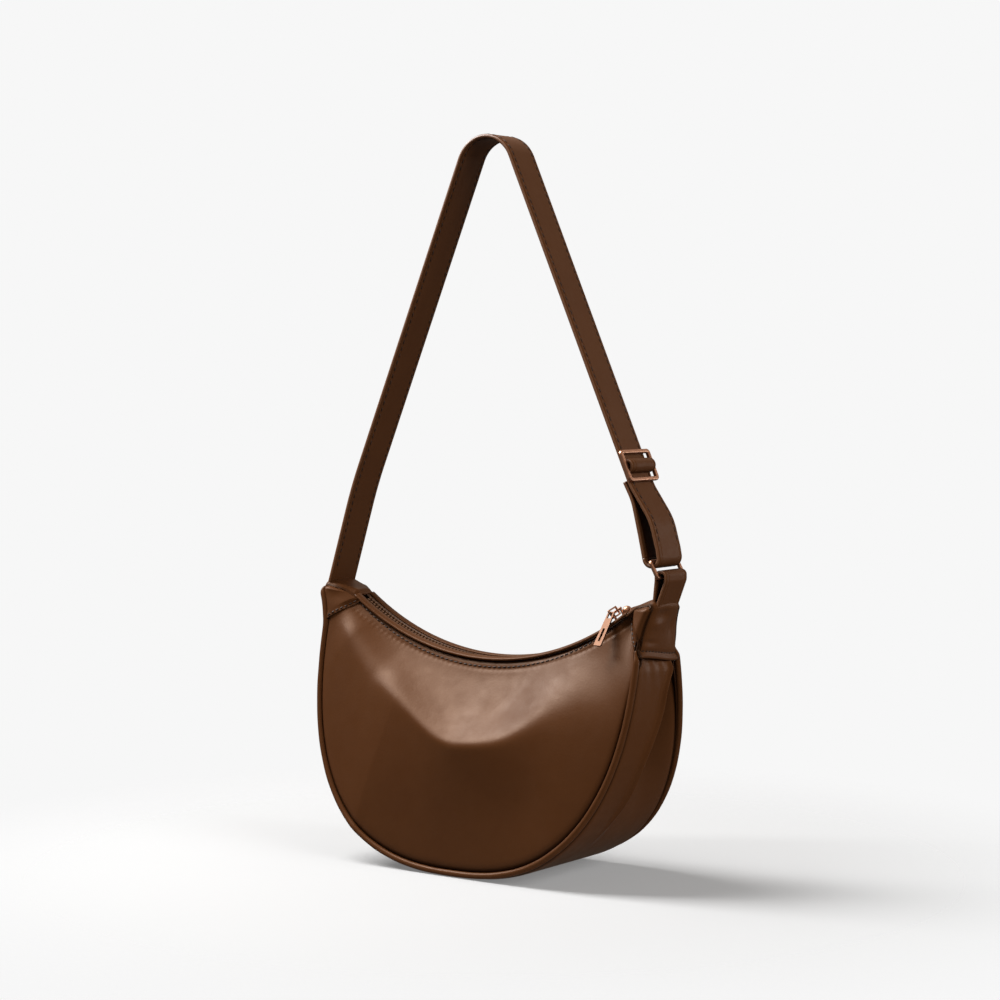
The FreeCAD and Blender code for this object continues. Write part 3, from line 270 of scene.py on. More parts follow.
def rounded_bar(half_width, half_height, power=4.0, count=28):
    """Closed superellipse profile: |a / w| to the power plus |b / h| to the power is 1."""
    angle = np.linspace(0, 2 * np.pi, count, endpoint=False)
    c, s = np.cos(angle), np.sin(angle)
    return np.stack([half_width * np.sign(c) * np.abs(c) ** (2 / power),
                     half_height * np.sign(s) * np.abs(s) ** (2 / power)], axis=1)


def piece(name, points, faces, material, inside=BELLY_MIDDLE, seam=None, edge=None):
    """A new mesh piece whose faces point away from inside. seam is painted shade, 1 in the
    shade of a seam, groove or fold and 0 on open leather; edge marks the faces that take the
    material's second slot."""
    points = np.asarray(points, float).reshape(-1, 3)
    faces = [list(face) for face in faces]
    quads = np.array([face[:3] + face[-1:] for face in faces])
    a, b, c, d = (points[quads[:, i]] for i in range(4))
    facing = np.cross(c - a, d - b)
    if np.sum(facing * ((a + b + c + d) / 4 - np.asarray(inside))) < 0:
        faces = [face[::-1] for face in faces]
    mesh = bpy.data.meshes.new(name)
    mesh.from_pydata(points.tolist(), [], faces)
    mesh.polygons.foreach_set("use_smooth", np.ones(len(faces), bool))
    for slot in material if isinstance(material, (list, tuple)) else [material]:
        mesh.materials.append(slot)
    if seam is not None:
        values = mesh.attributes.new("seam", "FLOAT", "POINT").data
        values.foreach_set("value", np.ravel(seam).astype(np.float32))
    if edge is not None:
        mesh.polygons.foreach_set("material_index", np.asarray(edge, np.int32))
    mesh.update()
    made = bpy.data.objects.new(name, mesh)
    bpy.context.scene.collection.objects.link(made)
    return made


def sheet_piece(name, points, material, thickness, inside=BELLY_MIDDLE, seam=None):
    """A grid of points as a leather or cloth sheet, thickened inwards."""
    made = piece(name, points, grid_faces(*points.shape[:2]), material, inside, seam)
    wall = made.modifiers.new("thickness", "SOLIDIFY")
    wall.thickness = thickness
    wall.offset = -1.0
    return made


def stitch_row(line, away, pitch, share=0.74, thickness=0.00042, slant=0.12):
    """Stitches along a line: ellipsoids a pitch apart, share of a pitch long, slightly slanted and
    half sunk into the leather. Returns points and faces."""
    along = line_length(line)
    places = np.arange(pitch / 2, along[-1] - pitch / 4, pitch)
    centre = read_off(line, along, places)
    away = unit(read_off(away, along, places))
    run = unit(read_off(np.gradient(line, axis=0), along, places))
    run = unit(run + slant * unit(np.cross(away, run)))
    side = unit(np.cross(away, run))
    # rings of six points along each stitch: where they lie and how thick they are
    reach = np.array((-1.0, -0.8, -0.35, 0.35, 0.8, 1.0))[:, None, None]
    girth = np.array((0.35, 0.8, 1.0, 1.0, 0.8, 0.35))[:, None, None]
    angle = np.linspace(0, 2 * np.pi, 6, endpoint=False)[:, None]
    centre, away, run, side = (rows[:, None, None] for rows in (centre, away, run, side))
    points = (centre + run * (reach * pitch * share / 2)
              + thickness * girth * (side * np.cos(angle) + away * np.sin(angle))
              + away * (thickness * (girth - 0.75)))
    rings, around = len(reach), len(angle)
    one = grid_faces(rings, around, wrap=True)
    caps = [list(range(around))[::-1], list(range((rings - 1) * around, rings * around))]
    first = np.arange(len(places)) * rings * around
    faces = (first[:, None, None] + one[None]).reshape(-1, 4).tolist()
    faces += [[int(corner + start) for corner in cap] for start in first for cap in caps]
    return points.reshape(-1, 3), faces


def joined(parts):
    """Several point and face lists as one."""
    points, faces, start = [], [], 0
    for some_points, some_faces in parts:
        points.append(some_points)
        faces += [[corner + start for corner in face] for face in some_faces]
        start += len(some_points)
    return np.vstack(points), faces


# Materials

def add(tree, kind, settings=(), links=()):
    """Adds a node. settings are attributes or input values; links are inputs and what feeds them."""
    made = tree.nodes.new(kind)
    for key, value in dict(settings).items():
        if isinstance(key, str) and hasattr(made, key):
            setattr(made, key, value)
        else:
            made.inputs[key].default_value = value
    for key, source in dict(links).items():
        tree.links.new(source, made.inputs[key])
    return made


def new_material(name):
    """An empty material: itself, its tree, its shader and where a point lies in its piece."""
    made = bpy.data.materials.new(name)
    made.use_nodes = True
    tree = made.node_tree
    return made, tree, tree.nodes["Principled BSDF"], add(tree, "ShaderNodeTexCoord").outputs["Object"]


def per_mm(spacing_mm):
    """Texture scale for a pattern of that spacing."""
    return 1000.0 / spacing_mm


def darkened(tone, share):
    """A share of a colour."""
    return tuple(share * channel for channel in tone)


def wired(tree, shader, sources):
    """Links sources to the shader's inputs."""
    for key, source in sources.items():
        tree.links.new(source, shader.inputs[key])


SHEEN_TINT = linear("e8b88f")


def smooth_leather(name, deep, clear, roughness):
    """Coated split leather, smooth, embossed with a fine pebble and finished semi-matt: clouded
    brown, with painted shade in the seams, grooves and folds, and a broad soft gloss. The pebble is
    really about 0.5 mm; it is drawn at 1.3 mm so that it shows."""
    made, tree, shader, place = new_material(name)
    cloud = add(tree, "ShaderNodeTexNoise", {"Scale": per_mm(38), "Detail": 4.0, "Roughness": 0.6},
                {"Vector": place})
    tone = add(tree, "ShaderNodeMix", {"data_type": "RGBA", 6: (*deep, 1), 7: (*clear, 1)},
               {0: cloud.outputs["Fac"]})
    seam = add(tree, "ShaderNodeAttribute", {"attribute_name": "seam"})
    # painted shade: the seam attribute darkens the colour towards a quarter of the deep tone in seams,
    # grooves and folds
    shaded = add(tree, "ShaderNodeMix", {"data_type": "RGBA", 7: (*darkened(deep, 0.25), 1)},
                 {0: seam.outputs["Fac"], 6: tone.outputs[2]})
    pebble = add(tree, "ShaderNodeTexVoronoi",
                 {"feature": "SMOOTH_F1", "Scale": per_mm(1.3), "Smoothness": 0.6}, {"Vector": place})
    crease = add(tree, "ShaderNodeTexNoise", {"Scale": per_mm(9), "Detail": 6.0, "Roughness": 0.62},
                 {"Vector": place})
    grain = add(tree, "ShaderNodeBump", {"Strength": 0.12, "Distance": 0.0002},
                {"Height": pebble.outputs["Distance"]})
    relief = add(tree, "ShaderNodeBump", {"Strength": 0.10, "Distance": 0.0008},
                 {"Height": crease.outputs["Fac"], "Normal": grain.outputs["Normal"]})
    gloss = add(tree, "ShaderNodeMapRange",
                {"From Min": 0.3, "From Max": 0.7,
                 "To Min": roughness - 0.05, "To Max": roughness + 0.06},
                {"Value": crease.outputs["Fac"]})
    wired(tree, shader, {"Base Color": shaded.outputs[2], "Normal": relief.outputs["Normal"],
                         "Roughness": gloss.outputs["Result"]})
    shader.inputs["IOR"].default_value = 1.5
    shader.inputs["Specular Tint"].default_value = (*SHEEN_TINT, 1)
    shader.inputs["Specular IOR Level"].default_value = 0.19
    return made


def patterned(tree, shader, pattern, tone, dark, relief=None, gloss=None):
    """One pattern drives a finish: its colour, from a dark share of the tone up to the tone, its
    relief, of a strength and a depth, and its roughness, from low to high."""
    mixed = add(tree, "ShaderNodeMix",
                {"data_type": "RGBA", 6: (*darkened(tone, dark), 1), 7: (*tone, 1)}, {0: pattern})
    wired(tree, shader, {"Base Color": mixed.outputs[2]})
    if relief:
        made = add(tree, "ShaderNodeBump", {"Strength": relief[0], "Distance": relief[1]},
                   {"Height": pattern})
        wired(tree, shader, {"Normal": made.outputs["Normal"]})
    if gloss:
        made = add(tree, "ShaderNodeMapRange", {"To Min": gloss[0], "To Max": gloss[1]},
                   {"Value": pattern})
        wired(tree, shader, {"Roughness": made.outputs["Result"]})


def painted_edge(name, tone):
    """Edge paint over cut leather layers: a lighter, slightly uneven brown with a dull gloss."""
    made, tree, shader, place = new_material(name)
    grit = add(tree, "ShaderNodeTexNoise", {"Scale": per_mm(2.5), "Detail": 4.0}, {"Vector": place})
    patterned(tree, shader, grit.outputs["Fac"], tone, 0.75, relief=(0.3, 0.0002))
    shader.inputs["Roughness"].default_value = 0.42
    return made


def sewing_thread(name, tone):
    """Twisted polyester thread: matt, with a fine twist."""
    made, tree, shader, place = new_material(name)
    twist = add(tree, "ShaderNodeTexWave",
                {"Scale": per_mm(3.2), "Distortion": 1.5, "bands_direction": "DIAGONAL"},
                {"Vector": place})
    patterned(tree, shader, twist.outputs["Fac"], tone, 0.6, relief=(0.4, 0.0001))
    shader.inputs["Roughness"].default_value = 0.6
    return made


def plated_metal(name, tone, roughness):
    """Zinc casting plated rose gold and lightly polished: warm metal with faint clouds."""
    made, tree, shader, place = new_material(name)
    cloud = add(tree, "ShaderNodeTexNoise", {"Scale": per_mm(5), "Detail": 5.0, "Roughness": 0.65},
                {"Vector": place})
    patterned(tree, shader, cloud.outputs["Fac"], tone, 0.72, relief=(0.04, 0.0002),
              gloss=(roughness - 0.08, roughness + 0.08))
    shader.inputs["Metallic"].default_value = 1.0
    return made


def woven_cloth(name, tone, spacing_mm, roughness):
    """Plain weave: two sets of threads at right angles, one over the other. Lighter on the threads,
    darker between them."""
    made, tree, shader, place = new_material(name)
    across, along = (
        add(tree, "ShaderNodeTexWave", {"Scale": per_mm(spacing_mm * 2 * math.pi), "Distortion": 0.6,
                                        "bands_direction": axis}, {"Vector": place}).outputs["Fac"]
        for axis in ("X", "Z"))
    weave = add(tree, "ShaderNodeMath", {"operation": "MULTIPLY"}, {0: across, 1: along})
    patterned(tree, shader, weave.outputs[0], tone, 0.55, relief=(0.5, 0.0002))
    shader.inputs["Roughness"].default_value = roughness
    shader.inputs["Sheen Weight"].default_value = 0.15
    return made


def moulded_nylon(name, tone):
    """Injection moulded nylon: dark, slightly waxy, with faint mottling."""
    made, tree, shader, place = new_material(name)
    mottle = add(tree, "ShaderNodeTexNoise", {"Scale": per_mm(1.5), "Detail": 3.0}, {"Vector": place})
    patterned(tree, shader, mottle.outputs["Fac"], tone, 0.8, gloss=(0.28, 0.45))
    return made


def paper_floor(name, tone):
    """Matt studio paper that fades into the backdrop away from the bag."""
    made, tree, shader, place = new_material(name)
    tooth = add(tree, "ShaderNodeTexNoise", {"Scale": per_mm(3), "Detail": 2.0}, {"Vector": place})
    patterned(tree, shader, tooth.outputs["Fac"], tone, 0.99)
    shader.inputs["Roughness"].default_value = 0.9
    shader.inputs["Specular IOR Level"].default_value = 0.0
    # the paper glows a little: painted light that keeps its shadows light
    shader.inputs["Emission Color"].default_value = (1, 1, 1, 1)
    shader.inputs["Emission Strength"].default_value = 0.18
    away = add(tree, "ShaderNodeVectorMath", {"operation": "LENGTH"}, {0: place})
    fade = add(tree, "ShaderNodeMapRange",
               {"interpolation_type": "SMOOTHSTEP", "From Min": 0.14, "From Max": 0.42},
               {"Value": away.outputs["Value"]})
    clear = add(tree, "ShaderNodeBsdfTransparent")
    mix = add(tree, "ShaderNodeMixShader", (),
              {0: fade.outputs["Result"], 1: shader.outputs["BSDF"], 2: clear.outputs["BSDF"]})
    tree.links.new(mix.outputs["Shader"], tree.nodes["Material Output"].inputs["Surface"])
    return made


def finish_of(context, name):
    """The named material, made when it is first asked for."""
    if name in bpy.data.materials:
        return bpy.data.materials[name]
    tones = context.scene.bag_finish
    deep, clear = tones.leather_deep, tones.leather_clear
    make, *sizes = {
        "brown_body_leather": (smooth_leather, deep, clear, 0.39),
        "brown_piping_leather": (smooth_leather, deep, clear, 0.38),
        "brown_strap_leather": (smooth_leather, deep, clear, 0.46),
        "edge_paint": (painted_edge, tones.edge_paint),
        "sewing_thread": (sewing_thread, tones.thread),
        "rose_gold_plating": (plated_metal, tones.plating, 0.34),
        "satin_plating": (plated_metal, darkened(tones.plating, 0.27), 0.56),
        "zip_tape_weave": (woven_cloth, tones.tape, 0.7, 0.75),
        "lining_weave": (woven_cloth, tones.lining, 0.8, 0.8),
        "zip_nylon": (moulded_nylon, tones.teeth),
        "studio_paper": (paper_floor, tones.floor),
    }[name]
    return make(name, *sizes)


def stand_for(made, body, slot, *nodes):
    """The piece rides on a body and stands for these nodes, which are hidden; slot is not used."""
    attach(made, body)
    if nodes:
        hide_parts(*nodes)


# Panels: the rim out from the middle and below the zip's curve, how far panels and tips run past the
# zip's end, points along and across a panel, and the stitches below the rim

RIM_REACH = 0.0072
RIM_DROP = 0.0008
PATCH_RUN = 0.0012
TIP_RUN = 0.0036
PANEL_GRID = (241, 121)
STITCH_INSET = 0.0046


def crest_place(across):
    """Place of the crest between seam, 0, and rim, 1. It hangs from near the left tip, lies level in
    the middle and runs out low towards the right side."""
    u = across - 0.03
    left = 0.187 * np.minimum(u, 0) ** 2 / (u * u + 0.09)
    right = 0.035 * smooth(0.15, 0.4, u) - 0.36 * smooth(0.5, 0.85, u)
    return denser_ends(0.61 + left + right)


def denser_ends(even):
    """Spreads even shares so that they lie closer towards 0 and 1."""
    return 0.6 * even + 0.4 * (0.5 - 0.5 * np.cos(np.pi * even))


def panel_surface(shape, sign, belly, crisp):
    """Panel between seam and rim, as the soft lower of two slopes that meet at the crest: from the
    seam out to it, y = seam + (crest - seam) (v / c) to the 1.5, and from it in to the rim,
    y = rim + (crest - rim) ((1 - v) / (1 - c)) to a power. crisp is how sharply they meet on the
    left, in the middle and on the right, per metre. Edges are tucked in and pulled by the stitches."""
    u = np.linspace(-1, 1, PANEL_GRID[0])[:, None]
    v = denser_ends(np.linspace(0, 1, PANEL_GRID[1]))[None, :]
    side = np.where(u < 0, -1.0, 1.0)
    seam_x, seam_z = outline(shape, np.abs(u) * PATCH_SHARE)
    seam_x = side * seam_x
    angle = zip_angle(shape, PATCH_RUN) * u
    rim_x, rim_z = mouth(shape, angle, RIM_DROP)
    span = np.hypot(rim_x - seam_x, rim_z - seam_z)
    x = seam_x + (rim_x - seam_x) * v
    z = seam_z + (rim_z - seam_z) * v
    place = crest_place(u)
    seam_out = half_depth(shape, seam_z) + shape.leather * 0.6
    rim_out = RIM_REACH + shape.leather
    bow = 1 - (0.8 + 0.4 * smooth(0, 0.35, u)) * (np.hypot(u, 0.12) - 0.12)
    bow = bow * (1 - 0.5 * smooth(0.78, 1, np.abs(u)))
    crest_out = seam_out + (rim_out - seam_out) * place + belly * bow
    lower = seam_out + (crest_out - seam_out) * (v / place) ** 1.5
    power = 1.35 + 0.3 * smooth(0.05, 0.6, -u) - 0.2 * smooth(0.1, 0.5, u)
    upper = rim_out + (crest_out - rim_out) * ((1 - v) / (1 - place)) ** power
    left, middle, right = crisp
    sharp = middle + (left - middle) * smooth(0.1, 0.55, -u) + (right - middle) * smooth(0.1, 0.55, u)
    out = -np.logaddexp(-sharp * lower, -sharp * upper) / sharp
    # the soft meeting takes nothing off at the rim
    out = out + (rim_out - out[:, -1:]) * v ** 4
    from_seam = v * span
    from_rim = (1 - v) * span
    run = angle * shape.mouth_radius
    pull = 0.75 + 0.25 * np.cos(2 * np.pi * run / shape.stitch_pitch)
    out = out - 0.0024 * hill(from_seam, 0.0034) - 0.0007 * hill(from_rim, 0.0014)
    out = out - 0.0004 * pull * hill(from_rim - STITCH_INSET, 0.0011)
    # a few broad, shallow dents where the leather has slumped
    out = out - 0.0010 * hill(x - 0.022, 0.012) * hill(z - 0.098, 0.008)
    out = out + 0.0007 * hill(x + 0.052, 0.02) * hill(z - 0.055, 0.03)
    out = out - 0.0009 * hill(x - 0.05, 0.03) * hill(z - 0.045, 0.02)
    # painted shade: dark in the groove along the seam, and a little in the groove under the rim
    seam = np.maximum(1 - smooth(0.0026, 0.0050, from_seam), 0.7 * hill(from_rim, 0.001))
    return np.stack([x, sign * out, z], axis=-1), seam


def panel_points(shape, sign):
    """The front with its sharp crest, or the back with a softer one."""
    if sign == FRONT:
        return panel_surface(shape, FRONT, shape.belly, (150.0, 700.0, 210.0))
    return panel_surface(shape, BACK, shape.back_belly, (250.0, 250.0, 250.0))


class BAG_OT_panels(bpy.types.Operator):
    """Front and back panels with their slumped bellies"""

    bl_idname = "bag.panels"
    bl_label = "Panels"

    def execute(self, context):
        shape = context.scene.bag_shape
        leather = finish_of(context, "brown_body_leather")
        thread = finish_of(context, "sewing_thread")
        for name, sign in FACES:
            points, seam = panel_points(shape, sign)
            made = sheet_piece(f"{name}_panel_leather", points, leather, shape.leather, seam=seam)
            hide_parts(f"{name}_panel")
            normal = grid_normals(points, DEEP * sign)
            span = np.linalg.norm(points[:, -1] - points[:, 0], axis=-1)
            row = int(PANEL_GRID[1] * (1 - STITCH_INSET / np.median(span)))
            sewn = piece(f"{name}_mouth_stitching",
                         *stitch_row(points[3:-3, row], normal[3:-3, row], shape.stitch_pitch), thread)
            if sign == FRONT:
                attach(made, "bag")
                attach(sewn, "bag")
            else:
                for soft in (made, sewn):
                    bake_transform(soft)
        return {"FINISHED"}


# Gusset and piping

def side_frame(shape, share, proud, base):
    """Outline points on both sides and their unit normals out of the bag."""
    side = np.where(share < 0, -1.0, 1.0)
    step = 0.002
    x, z = outline(shape, np.abs(share), proud, base)
    x0, z0 = outline(shape, np.maximum(np.abs(share) - step, 0), proud, base)
    x1, z1 = outline(shape, np.minimum(np.abs(share) + step, 1), proud, base)
    run = unit(np.stack([x1 - x0, z1 - z0], axis=-1))
    return side * x, z, side * run[..., 1], -run[..., 0]


def gusset_surface(shape):
    """Strip round sides and base: y = t half depth, moved out along the outline's normal. On the
    right a pleat: a low swell in front of its ridge, and behind it a hollow with eased sides. On
    the left a shallow hollow (1 - t t). Flat on the floor."""
    # closer rows on the right, where the pleat's ridge runs aslant
    rows = np.concatenate([np.linspace(-1, 0.45, 150, endpoint=False), np.linspace(0.45, 1, 190)])
    share = rows[:, None] * (PATCH_SHARE + 0.012)
    t = np.linspace(-1, 1, 121)[None, :]
    x, z, out_x, out_z = side_frame(shape, share, 0.0006, -0.001)
    half = half_depth(shape, outline(shape, np.abs(share))[1]) - 0.0009
    height = z + 0 * t
    ridge = -0.3 + 0.42 * smooth(0.07, 0.118, z) + 0.45 * smooth(0.112, 0.138, z)
    ahead = np.clip((t + 1) / (ridge + 1), 0, 1)
    behind = np.clip((t - ridge) / (1 - ridge), 0, 1)
    deep = shape.fold_depth * smooth(0.015, 0.10, height)
    pleat = 0.0034 * smooth(0.02, 0.09, height) * ahead ** 1.3 * hill(behind, 0.08)
    valley = smooth(0, 0.16, behind) * (1 - smooth(0.45, 1.0, behind))
    pleat = pleat - deep * valley + 0.0022 * smooth(0.02, 0.06, height) * hill(t - ridge, 0.055)
    hollow = -0.0042 * smooth(0.03, 0.11, height) * (1 - t * t)
    hollow = hollow + 0.0012 * smooth(0.03, 0.1, height) * hill(t - 0.3, 0.25)
    right = smooth(-0.02, 0.02, x)
    under_hem = smooth(0.126, 0.137, height)
    move = (right * pleat + (1 - right) * hollow) * (1 - under_hem) - 0.0012 * under_hem
    edge = (1 - np.abs(t)) * half
    move = move - 0.0019 * hill(edge, 0.0030)
    hem = 0.136 - height
    gathers = np.sin(t * half / 0.0021) * np.sin(t * half / 0.0034 + 0.8)
    move = move + 0.0009 * gathers * np.exp(-np.maximum(hem, 0) / 0.008) * (1 - t * t)
    points = np.stack([x + out_x * move, t * half, np.maximum(z + out_z * move, 0.0002)], axis=-1)
    # painted shade: along both edges by the piping, and in the hollow behind the pleat's ridge on the
    # right
    fold = 0.5 * right * smooth(0.035, 0.1, height) * valley
    return points, np.maximum(1 - smooth(0.0022, 0.0044, edge), fold)


class BAG_OT_gusset(bpy.types.Operator):
    """Strip round the sides and base, pleated on the right"""

    bl_idname = "bag.gusset"
    bl_label = "Gusset"

    def execute(self, context):
        shape = context.scene.bag_shape
        leather = finish_of(context, "brown_body_leather")
        points, seam = gusset_surface(shape)
        made = sheet_piece("gusset_leather", points, leather, GUSSET_SHEET, seam=seam)
        stand_for(made, "bag", "body_leather", "gusset")
        return {"FINISHED"}


def piping_path(shape, sign):
    """Seam line of a panel, with half depth in y: down the left horn, round the outline and up to the
    hem on the right. Returns points and normals out of the bag."""
    share = np.linspace(-PATCH_SHARE + 0.004, PATCH_SHARE - 0.028, 321)
    x, z = outline(shape, np.abs(share))
    horn = horn_line(shape, 0.0, 0.0)
    horn = horn[:int(np.argmax(horn[:, 1])) - 4][::-1] * (-1, 1)
    line = even_line(np.vstack([horn, np.stack([np.sign(share) * x, z], axis=1)]), 0.0012)
    out = -left_of(line)
    path = on_plane(line, sign * half_depth(shape, line[:, 1]))
    return path, on_plane(out)


class BAG_OT_piping(bpy.types.Operator):
    """Leather-covered cords in the seams between panels and gusset"""

    bl_idname = "bag.piping"
    bl_label = "Piping"

    def execute(self, context):
        shape = context.scene.bag_shape
        leather = finish_of(context, "brown_piping_leather")
        for name, sign in FACES:
            path, out = piping_path(shape, sign)
            run = unit(np.gradient(path, axis=0))
            across = unit(np.cross(run, out))
            out = np.cross(across, run)
            along = line_length(path)
            ripple = 1 + 0.012 * np.sin(along / 0.0031) + 0.012 * np.sin(along / 0.0047)
            thin = 0.3 + 0.7 * smooth(0, 0.007, np.minimum(along, along[-1] - along))
            path = path - out * shape.piping * 0.5 * (1 - thin)[:, None]
            cord = rounded_bar(shape.piping / 2, shape.piping / 2, 2.0, 20)
            cord = cord * (ripple * thin)[:, None, None]
            made = piece(f"{name}_piping_leather", *sweep(path, across, out, cord), leather,
                         inside=path.mean(axis=0))
            stand_for(made, "bag", "piping_leather", f"{name}_piping")
        return {"FINISHED"}


# Horns: the cover over the zip's end, how far down the side the right hem lies, and the stitches

COVER_RUN = 0.0014
COVER_LIFT = 0.0032
COVER_HALF = 0.0098
HEM_EARLY = 0.049
PATCH_PITCH = 0.0031
PATCH_STITCH_INSET = 0.0017
HEM_STITCH_ROW = 10


def horn_corner(shape):
    """Corner of the right horn before it is rounded."""
    return np.array((shape.half_width + shape.tip_flare, shape.side_height + horn_rise(shape)))


def horn_line(shape, proud, early):
    """Side, tip and top of the right horn as an x, z line, from early before the patch's place to
    just over the end of the zip."""
    begin = np.array([float(c) for c in outline(shape, PATCH_SHARE - early, proud)])
    shoulder = np.array([float(c) for c in outline(shape, 1.0, proud)])
    inner_end = np.array(mouth(shape, zip_angle(shape, -COVER_RUN), -COVER_LIFT))
    tip = horn_corner(shape) + (proud - 0.001)
    return rounded_line((begin, shoulder, tip, inner_end), (0.06, 0.0036), 0.0004)


def resting_on(places, panel):
    """Height of a panel under x, z places: mean of the panel's points weighted with a bell curve
    1.2 mm wide on a faint one 5 mm wide, which carries the height on past the panel's end."""
    flat = places.reshape(-1, 2)
    gap = np.linalg.norm(flat[:, None] - panel[None, :, ::2], axis=-1)
    weight = np.exp(-(gap / 0.0012) ** 2) + 1e-4 * np.exp(-(gap / 0.005) ** 2)
    height = weight @ np.abs(panel[:, 1]) / np.maximum(weight.sum(axis=1), 1e-12)
    return height.reshape(places.shape[:2])


def front_patch_surface(shape, sign, early, reach, rise, panel):
    """Overlay on a panel's horn: straight lines from the horn's edge to the mouth, bowed by
    4 b t (1 - t), its edge rounded like a leaf and its seams tucked in. It starts early down the
    side, reaches that far along the mouth and swells up from the panel over its rise."""
    line = horn_line(shape, 0.0, early)
    top = np.argmax(line[:, 1])
    line = even_line(line[:top + 6], 0.0004)
    s = np.linspace(0, 1, len(line))[:, None]
    t = np.linspace(0, 1, 61)[None, :]
    run = PATCH_RUN - reach + (TIP_RUN + reach - PATCH_RUN) * smooth(0, 1, s)
    rim_x, rim_z = mouth(shape, zip_angle(shape) + run / shape.mouth_radius, RIM_DROP - 0.0006)
    leaf = 4 * 0.0035 * smooth(0.0, 0.03, early) * t * (1 - t) * (1 - s) ** 2
    x = line[:, :1] + (rim_x - line[:, :1]) * t - 0.92 * leaf
    z = line[:, 1:] + (rim_z - line[:, 1:]) * t - 0.39 * leaf
    span = np.hypot(rim_x - line[:, :1], rim_z - line[:, 1:])
    seam_out = half_depth(shape, line[:, 1:]) + 0.0016
    under = smooth(0.75, 1, s)
    seam_out = seam_out - 0.0030 * under
    rim_out = RIM_REACH + shape.leather + 0.0008
    out = seam_out + (rim_out - seam_out) * t + 4 * 0.0028 * (1 - under) * t * (1 - t)
    z = z - 0.0017 * under
    from_edge = np.hypot(x - x[:1], z - z[:1])
    out = out - 0.0022 * hill(t * span, 0.0022)
    rest = resting_on(np.stack([x, z], axis=-1), panel) + 0.0016 * hill(t * span, 0.0030)
    out = out + (rest + 0.0009 - out) * (rest > 0.002) * (1 - smooth(0.0008, rise, from_edge))
    # soft dent towards the tip
    out = out - 0.0007 * hill(s - 0.55, 0.22) * hill(t - 0.5, 0.25)
    # painted shade along the seam at the horn's edge and under the patch's lower edge, where it lies on
    # the panel
    seam = np.maximum(1 - smooth(0.0004, 0.0016, t * span),
                      0.9 * (1 - smooth(0.0002, 0.0009, from_edge)))
    return np.stack([x, sign * out, z], axis=-1), seam


def inside_edge(points, away):
    """The line over a patch that stays a distance away from its first row, where it is that wide."""
    gap = np.linalg.norm(points - points[:1], axis=-1)
    wide = np.flatnonzero(gap[-1] > 1.5 * away)
    row = np.argmax(gap[:, wide] > away, axis=0)
    low, high = gap[row - 1, wide], gap[row, wide]
    share = ((away - low) / (high - low))[:, None]
    return points[row - 1, wide] * (1 - share) + points[row, wide] * share, row, wide


def gusset_patch_surface(shape, droop):
    """Overlay on the gusset's end, folded over the tip: y = t half width, which follows the bag's
    depth up the side and narrows evenly along the top. A rolled hem at its lower end, which
    droops towards the back."""
    line = horn_line(shape, 0.0012, HEM_EARLY)
    along = line_length(line)
    normal = -left_of(line)
    top = int(np.argmax(line[:, 1]))
    t = np.linspace(-1, 1, 91)[None, :]
    half = half_depth(shape, line[:, 1]) - 0.0002
    over = np.clip((along - along[top]) / (along[-1] - along[top]), 0, 1)
    half = np.where(over > 0, half[top] + (COVER_HALF - half[top]) * over, half)[:, None]
    edge = (1 - np.abs(t)) * half
    climb = along[:, None]
    move = 0.0014 * (1 - t * t) - 0.0022 * hill(edge, 0.0028) * smooth(0.0, 0.006, climb)
    move = move + 0.0007 * hill(climb - 0.0012, 0.0014) - 0.0004 * hill(climb - 0.0042, 0.0011)
    # slack folds below the tip
    move = move - 0.0013 * hill(climb - 0.0255, 0.004) * hill(t * half + 0.004, 0.006)
    move = move + 0.0008 * hill(climb - 0.019, 0.003) * hill(t * half + 0.009, 0.005)
    move = move - 0.0010 * hill(climb - 0.017, 0.006) * hill(t * half - 0.007, 0.004)
    move = move - 0.0007 * hill(climb - 0.009, 0.0016) * hill(t * half + 0.013, 0.006)
    # over the end of the zip it comes down to the mouth at its sides and its end
    over = over[:, None]
    sides = 0.8 * smooth(0.5, 1, np.abs(t)) * smooth(0.4, 1, over)
    end = 0.6 * (1 - smooth(0, 0.003, along[-1] - climb))
    move = move * (1 - 0.7 * smooth(0.1, 0.6, over)) - COVER_LIFT * (1 - (1 - sides) * (1 - end))
    # the hem hangs lower towards the back
    sag = droop * smooth(-1, 1, t) * (1 - smooth(0, 0.02, climb))
    points = np.stack([line[:, :1] + normal[:, :1] * move, t * half + 0 * climb,
                       line[:, 1:] + normal[:, 1:] * move - sag], axis=-1)
    # painted shade along both sides, fainter over the zip's end, and under the hem's edge
    seam = np.maximum((1 - smooth(0.0008, 0.0026, edge)) * (1 - 0.6 * over),
                      0.8 * (1 - smooth(0.0001, 0.0007, climb)))
    return points, seam


def horn_part(shape, facing, sign):
    """Points of a panel near one horn, thinned out, as if on the right."""
    points = panel_points(shape, facing)[0]
    near = mirrored(points[::2, ::2].reshape(-1, 3), sign)
    return near[(near[:, 0] > 0.075) & (near[:, 2] > 0.105)]


def mirrored(points, sign):
    """The same points on the right, sign 1, or the left, sign -1."""
    return points * np.array((sign, 1.0, 1.0))


